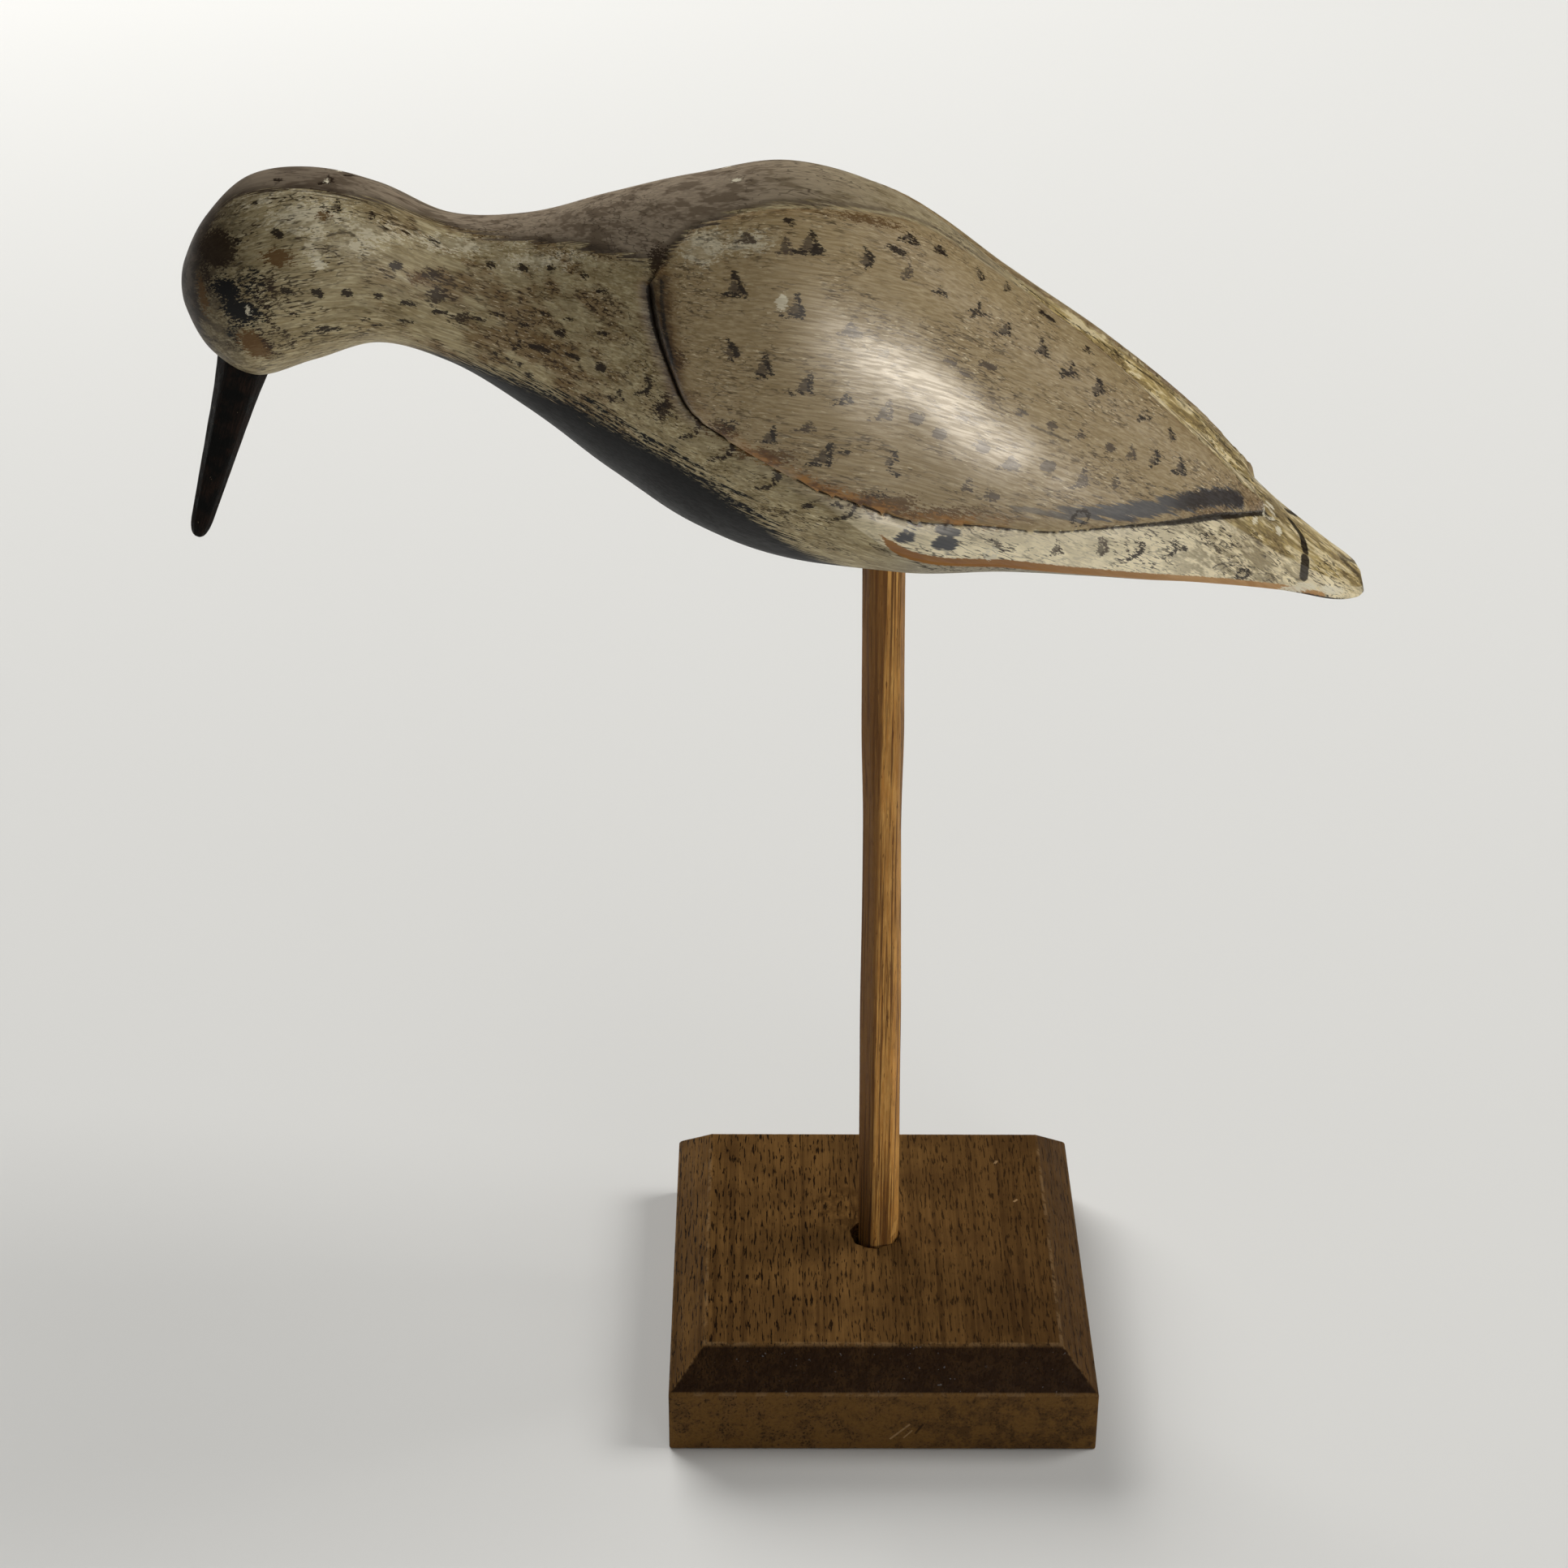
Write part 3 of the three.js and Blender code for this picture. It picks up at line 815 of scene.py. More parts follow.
# patches, flakes and rings, by the paint they show: pixels as above, mm long, mm deep
patches = {
    # on the head's front the umber patches are partly dark paint and partly painted shade
    "umber": [
        (266, 306, 8.4, 7.2), (254, 338, 2.0, 5.6), (330, 432, 1.2, 5.0), (335, 355, 1.5, 4.4),
        (536, 364, 3.0, 3.0), (570, 391, 3.4, 2.0), (835, 444, 2.4, 3.2), (891, 524, 4.2, 2.2),
        (1070, 612, 4.6, 1.8), (535, 338, 2.8, 1.8), (328, 385, 1.2, 5.4), (812, 322, 3.0, 5.0),
        (818, 500, 2.2, 5.0),
    ],
    "ochre": [
        (341, 318, 5.4, 3.0), (316, 432, 5.6, 7.0), (249, 362, 2.2, 6.0), (1100, 620, 8.0, 3.6),
        (939, 560, 10.0, 3.0), (397, 265, 2.2, 1.8), (1069, 268, 12.0, 1.8), (1150, 634, 14.0, 2.4),
        (520, 342, 4.0, 1.8), (890, 535, 6.0, 2.6),
    ],
    "soot": [(279, 356, 5.6, 4.6), (297, 385, 7.4, 4.8), (267, 352, 2.6, 1.6), (284, 372, 3.0, 4.0)],
    "pepper": [(311, 350, 6.0, 6.4), (302, 410, 8.0, 6.4), (325, 375, 4.0, 7.0)],
    # the fleck in the eye, at 304, 383, is a painted glint; the others are chalk-white flecks and chips
    "chalk": [
        (963, 371, 2.0, 2.8), (402, 223, 0.9, 1.6), (392, 325, 2.4, 1.6), (1600, 724, 8.0, 1.6),
        (1640, 727, 6.0, 1.6), (906, 222, 1.6, 1.0), (304, 383, 1.1, 1.8), (1575, 655, 1.6, 2.2),
        (1566, 622, 2.4, 1.4), (1548, 640, 1.2, 1.8),
    ],
    # along the top of the head and neck the pale patches are partly painted light, where the head's top faces
    # the light
    "pale": [
        (868, 303, 8.0, 7.0), (919, 297, 9.0, 3.6), (430, 305, 9.0, 3.4), (388, 303, 4.0, 5.0),
        (355, 243, 15.0, 2.6), (380, 268, 14.0, 6.0), (455, 285, 10.0, 4.0), (560, 300, 16.0, 3.0),
        (660, 322, 14.0, 3.0),
    ],
}
rings = {
    "dark": [(1329, 637, 2.8, 2.6), (1530, 708, 2.2, 1.8), (1607, 672, 1.8, 2.2)],
    "umber": [(348, 424, 3.6, 4.4)],
    "chalk": [(1221, 679, 2.0, 1.8), (1561, 632, 3.8, 3.4)],
}

# hair lines: cracks and a thin brush's strokes, in the photograph's pixels
hairLines = [
    [(1229, 549), (1289, 569)],
    [(1269, 526), (1316, 546)],
    [(1296, 586), (1359, 612)],
    [(1372, 586), (1459, 609)],
    [(275, 254), (311, 238), (354, 233)],
    [(381, 233), (413, 238), (439, 246), (480, 262)],
    [(403, 291), (431, 288), (450, 306)],
    [(1495, 700), (1508, 693), (1525, 694)],
]

# each kind's shape in a square one unit tall, X towards the tail and Y down:
# its strokes, half of the brush's width, and the outline of the thin wash within
markShapes = {
    "flame": (
        [[(-0.05, -0.5), (0.16, -0.1), (0.42, 0.4)], [(-0.48, 0.44), (0.46, 0.42)]], 0.1,
        [(-0.08, -0.45), (0.45, 0.44), (-0.34, 0.44)]),
    "tear": (
        [[(-0.22, -0.5), (0.16, -0.16), (0.34, 0.2), (0.08, 0.48)]], 0.115,
        [(-0.2, -0.4), (0.34, 0.2), (0.1, 0.46), (-0.24, 0.32)]),
    "flat": (
        [[(-0.56, 0.2), (0.52, 0.26)], [(-0.12, -0.3), (0.42, 0.16)]], 0.11,
        [(-0.14, -0.3), (0.5, 0.24), (-0.5, 0.2)]),
    "star": (
        [[(-0.45, 0.12), (0.46, 0.18)], [(0.02, -0.46), (0.06, 0.14)], [(0.06, 0.14), (-0.3, 0.46)]],
        0.11, None),
    "comma": ([[(-0.12, -0.5), (0.26, -0.14), (0.16, 0.26), (-0.36, 0.48)]], 0.125, None),
    "dash": ([[(-0.5, -0.12), (0.0, 0.0), (0.5, 0.14)]], 0.17, None),
    "blot": ([[(-0.2, -0.08), (0.2, 0.1)]], 0.31, None),
    "block": ([[(-0.1, -0.3), (-0.2, 0.26)], [(0.14, -0.2), (0.16, 0.3)]], 0.25, None),
}


def markAxes(along, down, side):
    middle = skinPlace(along, down * side)
    tailward = skinPlace(along + 0.5, down * side) - skinPlace(along - 0.5, down * side)
    downward = skinPlace(along, (down + 1) * side) - skinPlace(along, (down - 1) * side)
    return middle, tailward / np.linalg.norm(tailward), downward / np.linalg.norm(downward)


def strokeField(flat, points, width):
    # mm inside a brush stroke drawn through the points
    nearest = np.full(len(flat), 99.0)
    for start, end in zip(points[:-1], points[1:]):
        step = end - start
        share = np.clip((flat - start) @ step / (step @ step), 0, 1)
        nearest = np.minimum(nearest, np.linalg.norm(flat - start - share[:, None] * step, axis=1))
    return width - nearest


def leaned(points, size, lean):
    points = np.array(points)
    return size * (points + points[:, ::-1] * (lean, 0.4 * lean))


def markField(kind, flat, size, lean):
    # a small brush mark: its firm strokes, and the thin wash between them
    strokes, width, outline = markShapes[kind]
    firm = np.max([strokeField(flat, leaned(line, size, lean), width * size) for line in strokes], axis=0)
    if outline is None:
        return firm, np.full(len(flat), brushed["away"])
    outline = leaned(outline, size, lean)
    gap = -strokeField(flat, np.vstack([outline, outline[:1]]), 0)
    return firm, np.where(isInside(outline, flat[:, 0], flat[:, 1]), gap, -gap)


def patchField(flat, wide, deep, ring):
    apart = np.hypot(flat[:, 0] / wide, flat[:, 1] / deep) * 2
    if ring:
        return brushed["ring"] - np.abs(apart - 1) * (wide + deep) / 4
    return (1 - apart) * min(wide, deep) / 2


def everyMark():
    for name, table in (("dark", darkMarks), ("grey", greyMarks)):
        for kind, rows in table.items():
            for column, row, size in rows:
                yield ("band" if kind == "block" else name), kind, column, row, size, size
    for ring, table in ((False, patches), (True, rings)):
        for name, rows in table.items():
            for column, row, wide, deep in rows:
                yield name, ring, column, row, wide, deep


def markFields(points, side, along, down, places):
    rng = np.random.default_rng(brushed["seed"])
    names = ("dark", "wash", "grey", "hair", "band", "umber", "ochre", "soot", "pepper", "chalk", "pale")
    found = {name: np.full(len(points), brushed["away"]) for name in names}
    facing = np.flatnonzero((side == -1) & (down < brushed["seenDown"]))
    seen = inPhoto(points[facing])

    def placeUnder(column, row):
        nearest = facing[np.argmin(np.hypot(seen[:, 0] - column, seen[:, 1] - row))]
        return along[nearest], down[nearest]

    for name, kind, column, row, wide, deep in everyMark():
        a, d = placeUnder(column, row)
        for near in (-1, 1):
            lean = rng.uniform(-brushed["lean"], brushed["lean"])
            if near > 0:
                a += rng.normal(0, brushed["astray"][0])
                d += rng.normal(0, brushed["astray"][1])
            middle, tailward, downward = markAxes(a, d, near)
            offset = points - middle
            close = np.flatnonzero((np.abs(offset).max(axis=1) < wide + deep + 4) & (side == near))
            flat = np.stack([offset[close] @ tailward, offset[close] @ downward], axis=1)
            if kind in markShapes:
                value, wash = markField(kind, flat, wide, lean)
                found["wash"][close] = np.maximum(found["wash"][close], wash)
            else:
                value = patchField(flat, wide, deep, kind)
            found[name][close] = np.maximum(found[name][close], value)
    for pixels in hairLines:
        gap = gapTo([placeUnder(column, row) for column, row in pixels], places)
        found["hair"] = np.maximum(found["hair"], brushed["hair"] - gap)
    return found


def addFields(body, fields, pick, points, side, along, down, places):
    # everything that the paint reads, stored on the surface
    marks = markFields(points, side, along, down, places)
    dense = denseSections
    middle = np.interp(along, dense[:, 0], (dense[:, 1] + dense[:, 2]) / 2)
    drawn = {name: field[pick] for name, field in fields.items()}
    stored = {
        "skin": (points[:, 0], points[:, 2] - middle, points[:, 1]),
        "flow": (points[:, 0], down * 0.55, points[:, 1] * 0.3),
        "wingMarks": (drawn["edge"], drawn["ridge"], drawn["lines"]),
        "paintMarks": (drawn["cap"], drawn["black"], drawn["keel"]),
        "toneMarks": (drawn["under"], drawn["flank"], drawn["tips"]),
        "strokeMarks": (marks["dark"], marks["grey"], marks["wash"]),
        "lineMarks": (marks["hair"], np.maximum(drawn["band"], marks["band"]), marks["chalk"]),
        "patchMarks": (marks["umber"], marks["ochre"], marks["soot"]),
        "flakeMarks": (marks["pale"], marks["pepper"], drawn["tailEdge"]),
    }
    for name, columns in stored.items():
        attribute = body.data.attributes.new(name, "FLOAT_VECTOR", "POINT")
        attribute.data.foreach_set("vector", np.stack(columns, axis=1).astype(np.float32).ravel())


paint = {
    "ground": tint(164, 148, 110),
    "groundDark": tint(150, 133, 96),
    "groundLight": tint(188, 174, 138),
    "olive": tint(114, 98, 64),
    "cream": tint(255, 241, 204),
    "wing": tint(164, 143, 105),
    "wingDark": tint(152, 131, 93),
    "wingLight": tint(176, 156, 119),
    "brown": tint(104, 73, 34),
    "cap": tint(146, 131, 111),
    "capDark": tint(108, 94, 77),
    "capLight": tint(152, 137, 116),
    "black": tint(5, 5, 5),
    "mark": tint(34, 22, 12),
    "grey": tint(78, 64, 50),
    "wash": tint(66, 54, 42),
    "bareWood": tint(158, 110, 50),
    "bareWoodDark": tint(92, 58, 22),
    "keel": tint(138, 90, 42),
    "keelPale": tint(192, 148, 94),
    "umber": tint(42, 27, 14),
    "ochre": tint(96, 68, 32),
    "soot": tint(12, 11, 11),
    "chalk": tint(226, 217, 190),
    "pale": tint(208, 197, 168),
    # dark of the lines: dirt in the wing's front groove, painted shade in the crack under its lower edge
    "dirt": tint(24, 14, 6),
    "capEdge": tint(50, 40, 31),
    "band": tint(74, 75, 78),
    "greyUnder": tint(150, 148, 138),
    "tail": tint(186, 163, 106),
    "tailDark": tint(142, 121, 80),
    "tailLight": tint(226, 208, 164),
}


def threeTones(value, *names):
    dark, middle, light = (paint[name] for name in names)
    lower = blend(between(value, 0.0, 0.5), dark, middle)
    return blend(between(value, 0.5, 1.0), lower, light)


def paintBird():
    material, tree, finish = startMaterial("paintedBird")

    def stored(name):
        return addNode(tree, "ShaderNodeAttribute", attribute_name=name).outputs["Vector"]

    skin = stored("skin")
    along = separated(skin)[0]
    edge, ridge, lines = separated(stored("wingMarks"))
    cap, black, keel = separated(stored("paintMarks"))
    under, flank, tips = separated(stored("toneMarks"))
    dark, grey, wash = separated(stored("strokeMarks"))
    hair, band, chalk = separated(stored("lineMarks"))
    umber, ochre, soot = separated(stored("patchMarks"))
    pale, pepper, tailEdge = separated(stored("flakeMarks"))
    streaks, bands, dashes, flecks, cracks, mottle, warmth = placeGroup(brushwork, Vector=skin)
    flaky = tornPaint(stretched(skin, (2.2, 2.0, 2.0)))
    longFlow = tornPaint(stretched(stored("flow"), (0.13, 0.8, 0.8)))

    def edged(field, ragged, softness, tear=flaky):
        return placeGroup(flakedEdge, Torn=tear, Field=field, Ragged=ragged, Softness=softness)["Mask"]

    # thin olive-cream over the whole bird, browner on its neck and creamy along its rear flank
    colour = threeTones(streaks, "groundDark", "ground", "groundLight")
    neck = times(between(along, -104.0, -84.0), between(along, -58.0, -40.0, 1.0, 0.0))
    colour = coats(
        colour, paint,
        ("olive", mottle, 0.6),
        ("groundLight", bands, 0.3),
        ("brown", neck, warmth, 0.62),
        ("cream", flank, between(mottle, 0.0, 1.0, 1.0, 0.75)))
    tailPart = larger(times(between(along, 48.0, 70.0), 0.9), tips)
    tailTone = threeTones(bands, "tailLight", "tail", "tailDark")
    colour = blend(times(tailPart, between(flank, 0.0, 1.0, 1.0, 0.45)), colour, tailTone)
    colour = coats(
        colour, paint,
        ("olive", between(along, 46.0, 58.0), between(along, 84.0, 70.0), mottle, 0.6),
        ("greyUnder", under, 0.55))

    # the wings are a shade browner, most along their edges
    onWing = times(edged(ridge, 0.12, 0.15), between(edge, -0.1, 0.2))
    wing = coats(
        threeTones(streaks, "wingDark", "wing", "wingLight"), paint,
        ("wingDark", mottle, 0.3),
        ("brown", warmth, between(edge, 0.6, 6.0, 0.6, 0.1)),
        ("brown", between(ridge, 0.3, 3.0, 0.5, 0.0), bands))
    colour = blend(onWing, colour, wing)

    # thin places and fine wear; the pale patches partly paint the light on the top of the head and neck
    coarse = between(onWing, 0.0, 1.0, 0.95, 0.65)
    colour = coats(
        colour, paint,
        ("pale", edged(pale, 1.6, 0.3), between(mottle, 0.0, 1.0, 0.9, 0.25)),
        ("umber", dashes, coarse),
        ("cream", flecks, 0.45),
        ("umber", cracks, coarse, 0.85))

    # the dark cap and mantle, streaky, darkest along their lower edge, thinning towards the tail
    faded = times(between(along, -36.0, 12.0, 1.0, 0.25), between(tips, 0.0, 0.6, 1.0, 0.0))
    capColour = coats(
        threeTones(bands, "capDark", "cap", "capLight"), paint,
        ("capDark", streaks, 0.5),
        ("capEdge", between(cap, 0.3, 2.4, 0.75, 0.0), between(along, -78.0, -58.0, 0.75, 1.0)),
        ("capEdge", between(along, -90.0, -106.0, 0.0, 0.38)),
        ("capEdge", cracks, 0.6))
    colour = blend(times(edged(cap, 1.7, 0.3, longFlow), faded), colour, capColour)

    # the forehead, dark paint with painted shade on its front, which faces away from the light, and a light
    # worn line along the wing's upper edge, dark beside it
    worn = times(between(gapFrom(ridge, -0.25), 0.1, 0.5, 0.5, 0.0), between(along, -36.0, -14.0, 0.1, 1.0))
    shade = between(gapFrom(ridge, -1.2), 0.2, 0.7, 0.5, 0.0)
    colour = coats(
        colour, paint,
        # the head's front: partly dark paint, partly painted shade
        ("capEdge", between(along, -113.0, -129.0, 0.0, 0.95), between(mottle, 0.0, 1.0, 0.7, 1.0)),
        ("capDark", shade, between(tips, 0.0, 0.5, 1.0, 0.2)),
        ("groundLight", worn, between(bands, 0.0, 1.0, 0.5, 1.0)))

    # the black belly, put on with a dry brush and broken along its top, the face peppered where its
    # black flaked away, and the shadow band along the wing, blue-grey with a black-brown tip
    broken = times(between(black, 0.4, 4.0, 0.7, 0.0), between(streaks, 0.6, 0.75))
    thick = larger(between(along, 18.0, 38.0, 0.5, 0.95), between(flank, 0.0, 0.3))
    colour = coats(
        colour, paint,
        ("black", edged(black, 3.4, 0.1, longFlow), less(1.0, broken)),
        ("soot", between(pepper, -0.6, 0.8), between(flaky, 0.48, 0.52)),
        ("band", edged(band, 1.2, 0.3, longFlow), thick),
        ("mark", edged(band, 0.7, 0.3), between(along, 47.0, 55.0), onWing, 0.95))

    # patches, then the small brush's marks
    colour = coats(
        colour, paint,
        ("ochre", edged(ochre, 1.0, 0.2), 0.92),
        # umber patches, on the head's front partly painted shade
        ("umber", edged(umber, 1.2, 0.2), 0.92),
        ("wash", edged(wash, 0.5, 0.12), 0.8),
        ("grey", edged(grey, 0.3, 0.1), 0.9),
        ("mark", edged(dark, 0.42, 0.08), 0.96),
        ("umber", edged(hair, 0.15, 0.1), 0.7),
        ("soot", edged(soot, 1.3, 0.1)))

    # bare wood where the wing's rounded edge and the tail's keel were handled
    bare = blend(mottle, paint["bareWood"], paint["bareWoodDark"])
    handled = times(between(along, -42.0, -22.0), between(along, 10.0, 26.0, 1.0, 0.0))
    rubbed = times(edged(less(1.2, gapFrom(edge, 1.2)), 1.0, 0.5), handled)
    colour = blend(times(rubbed, between(warmth, 0.0, 0.6, 0.5, 1.0)), colour, bare)
    keelTone = blend(between(along, 6.0, 60.0), paint["keel"], paint["keelPale"])
    keelTone = coats(keelTone, paint, ("bareWood", bands, 0.6))
    colour = blend(edged(keel, 0.12, 0.1), colour, keelTone)

    atFront = between(along, -34.0, -40.0)
    lineMask = edged(lines, 0.14, 0.14)
    colour = coats(
        colour, paint,
        ("umber", edged(tailEdge, 0.5, 0.3), 0.7),
        ("ochre", between(lines, -3.4, 0.0), atFront, between(mottle, 0.0, 1.0, 0.5, 0.9)),
        ("umber", edged(plus(lines, 0.7), 0.8, 0.6), atFront, 0.6),
        # the dark lines: paint bars, cracks, dirt in the wing's front groove and painted shade in the crack
        # along its lower edge
        ("dirt", lineMask, 0.94),
        # chalk flecks; the one in the eye is a painted glint
        ("chalk", edged(chalk, 0.4, 0.12), between(streaks, 0.1, 0.7, 0.65, 0.95)))

    rough = plus(between(streaks, 0.0, 1.0, 0.56, 0.48), times(warmth, 0.06))
    waxed = larger(times(onWing, 0.8), times(flank, 0.9))
    feed(finish, {
        "Base Color": colour,
        "Specular IOR Level": 0.22,
        "Roughness": plus(rough, times(lineMask, 0.2)),
        "Coat Weight": times(waxed, between(streaks, 0.15, 0.85, 0.65, 1.0)),
        "Coat Roughness": 0.3,
        "Normal": bumped(streaks, 0.006),
    })
    return material


decoy = carveBird()
print("bird carved:", len(decoy.data.polygons), "faces")
dress(decoy, paintBird())
print("bird painted")


# The stick

stick = {
    "radius": 4.3,
    "neck": 0.4,
    "lean": 0.7,            # degrees, towards the head
    "inBird": 20,
    "inBase": 14,
    "air": 0.3,             # round each plug in its hole
    "shown": 164,
    "sides": 48,
    "rows": 120,
    "neckAt": (0.3, 0.62, 0.78),     # it starts, is thinnest and ends, in shares of the shown length
    "unevenness": 0.05,
    # the whittled flats: degrees round from the front, and how deep each is cut
    "flats": ((-62, 0.42), (8, 0.26), (70, 0.34), (128, 0.3), (184, 0.4), (236, 0.3)),
    # how the flats wander, in degrees, and how their depth varies, as waves
    "wander": (7, 47, 2.1),
    "deeper": (0.5, 31, 1.3),
}


def wave(rule, distance, k):
    # a wave along a piece: its size, how slow it is in mm, and how far each flat shifts it
    size, length, shift = rule
    return size * np.sin(distance / length + shift * k)


def knifeFlat(away, cut, full):
    # the radius where the knife took a flat; away: degrees from the flat's middle
    apart = np.radians((away + 180) % 360 - 180)
    return np.where(np.abs(apart) < 1.2, cut / np.maximum(np.cos(apart), 0.3), full)


def leanLine():
    lift = Matrix.Translation(Vector((0, 0, baseBox[1].z)))
    return lift @ Matrix.Rotation(math.radians(-stick["lean"]), 4, "Y")


def whittleStick():
    deselectAll()
    low = -stick["inBase"]
    high = stick["shown"] + stick["inBird"]
    bpy.ops.mesh.primitive_circle_add(
        vertices=stick["sides"], radius=stick["radius"] * mm, fill_type="NGON", location=(0, 0, low * mm))
    rod = bpy.context.object
    rod.name = "whittledStick"
    settle(rod)
    bpy.ops.object.mode_set(mode="EDIT")
    bpy.ops.mesh.select_all(action="SELECT")
    step = (high - low) / stick["rows"] * mm
    for _ in range(stick["rows"]):
        bpy.ops.mesh.extrude_region_move(TRANSFORM_OT_translate={"value": (0, 0, step)})
    turnFacesOut(rod)

    points = readPoints(rod) / mm
    height = points[:, 2]
    turn = np.degrees(np.arctan2(points[:, 0], -points[:, 1]))
    share = height / stick["shown"]
    starts, thinnest, ends = stick["neckAt"]
    thinned = smoothStep(share, starts, thinnest) * (1 - smoothStep(share, thinnest, ends))
    full = stick["radius"] - stick["neck"] * thinned
    radius = full.copy()
    for k, (middle, depth) in enumerate(stick["flats"]):
        cut = full - depth * (1 + wave(stick["deeper"], height, k))
        away = turn - middle - wave(stick["wander"], height, k)
        radius = np.minimum(radius, knifeFlat(away, cut, full))
    radius = radius * (1 - 0.04 * (1 - smoothStep(height, low, low + 1.5)))
    rim = np.hypot(points[:, 0], points[:, 1])
    points[:, :2] *= (radius / np.maximum(rim, 1e-6))[:, None]
    points += stick["unevenness"] * roughness3(points * (1, 1, 0.15), 2.5, 4)[:, None] * (1, 1, 0)
    writePoints(rod, points * mm)
    rod.data.transform(leanLine())
    smoothBelow(rod, 50)
    return rod


stickLook = {
    "wood": tint(198, 136, 62),
    "pale": tint(222, 168, 92),
    "lines": tint(88, 48, 17),
    # weathered wood; the same tone is also painted shade on the stick's left side
    "weatheredAndShaded": tint(108, 68, 26),
    "stain": tint(44, 24, 11),
    "knot": (2.6, -4.0, 92),        # mm
    "chip": ((3.2, 24.2), (3.6, 26.0), 0.8),
}


def dressStick():
    material, tree, finish = startMaterial("whittledPine")
    place = objectMillimetres(tree)
    x, y, z = separated(place)
    grain, lines, pores = placeGroup(woodGrain, Vector=grainAlong(place, "ZXY"), Width=0.5, Pores=0.4)
    dirt = placeGroup(grime, Vector=grainAlong(stretched(place, (1, 1, 0.3)), "ZXY"), Size=3.0)["Cloud"]
    foot = times(between(z, 62.0, 24.0), between(x, 0.8, -3.6), 0.85)
    colour = coats(
        blend(grain, stickLook["wood"], stickLook["pale"]), stickLook,
        ("lines", lines, 0.8),
        ("lines", pores, 0.7),
        ("weatheredAndShaded", dirt, 0.25),
        # painted shade: the stick's left side, away from the light, darkened
        ("weatheredAndShaded", between(x, -1.4, -2.4), 0.75),
        ("stain", foot, between(lines, 0.0, 1.0, 0.5, 1.0)),
        ("stain", between(distanceFrom(place, stickLook["knot"]), 0.3, 0.9, 0.8, 0.0)),
        ("pale", nearLine(x, z, *stickLook["chip"]), between(y, 0.0, -1.0), 0.7))
    feed(finish, {
        "Base Color": colour,
        "Specular IOR Level": 0.18,
        "Roughness": between(grain, 0.0, 1.0, 0.52, 0.64),
        "Normal": bumped(less(grain, lines), 0.08),
    })
    return material


rod = whittleStick()
dress(rod, dressStick())
print("stick whittled")


# The bill

bill = {
    "length": 37.5,
    "width": 10,
    "thickness": 8,
    "tilt": 18,             # degrees forward of straight down
    "inHead": 9,
    "rootAlong": -55,       # hundredths of the bird's length
    "sunk": 0.8,
    "around": 48,
    "rows": 90,
    # knife-cut flats: degrees round from the throat side towards the camera, and how deep
    "flats": ((28, 0.07), (95, 0.10), (150, 0.08), (208, 0.07), (265, 0.10), (330, 0.08)),
    "wander": (5, 9, 1.7),
    "unevenness": 0.06,
}


def billShape(share):
    # the full section left at each share of the shown length, a plug above it
    flare = np.clip(1 - share / 0.3, 0, 1) ** 2
    rounding = np.sqrt(1 - np.clip((share - 0.9) / 0.1, 0, 1) ** 2)
    shown = (0.92 + 0.08 * flare - 0.56 * share) * (0.35 + 0.65 * rounding)
    plug = 1 + 0.35 * share * bill["length"] / bill["inHead"]
    return np.where(share < 0, plug, shown)


def billPoints(unit, clearance, end):
    # unit: points of a ball of radius 1 whose poles are the plug's end and the tip
    ringShare = np.arccos(np.clip(unit[:, 2], -1, 1)) / math.pi
    turn = np.arctan2(unit[:, 1], unit[:, 0])
    start = -bill["inHead"] - clearance
    row = np.clip((ringShare - 0.02) / 0.96, 0, 1)
    distance = start + (end - start) * np.sin(row * math.pi / 2)
    pole = (ringShare < 0.001) | (ringShare > 0.999)
    size = np.where(pole, 0, billShape(distance / bill["length"]))
    size *= knifeFlats(turn, distance) if clearance == 0 else 1
    grown = np.where(pole, 0, clearance)
    tilt = math.radians(bill["tilt"])
    root = Vector((bill["rootAlong"] * percent, 0, rootHeight() + bill["sunk"]))
    axis = np.array((-math.sin(tilt), 0, -math.cos(tilt)))
    aside = np.array((math.cos(tilt), 0, -math.sin(tilt)))
    points = np.array(root) + distance[:, None] * axis
    points += ((size * bill["width"] / 2 + grown) * np.cos(turn))[:, None] * aside
    points[:, 1] += (size * bill["thickness"] / 2 + grown) * np.sin(turn)
    return points


def knifeFlats(turn, distance):
    radius = np.ones(len(turn))
    for k, (middle, depth) in enumerate(bill["flats"]):
        away = np.degrees(turn) + middle - wave(bill["wander"], distance, k)
        radius = np.minimum(radius, knifeFlat(away, 1 - depth, 1.0))
    return radius


def rootHeight():
    return np.interp(bill["rootAlong"] * percent, denseSections[:, 0], denseSections[:, 2])


def shapeBill(name, clearance, end):
    deselectAll()
    bpy.ops.mesh.primitive_uv_sphere_add(segments=bill["around"], ring_count=bill["rows"], radius=1)
    beak = bpy.context.object
    beak.name = name
    points = billPoints(readPoints(beak), clearance, end)
    if clearance == 0:
        points += bill["unevenness"] * roughness3(points, 3.0, 7)[:, None]
    writePoints(beak, points * mm)
    turnFacesOut(beak)
    smoothBelow(beak, 50)
    return beak


billLook = {
    "black": tint(5, 5, 4),
    "brown": tint(40, 26, 19),
    "chip": tint(150, 132, 108),
}


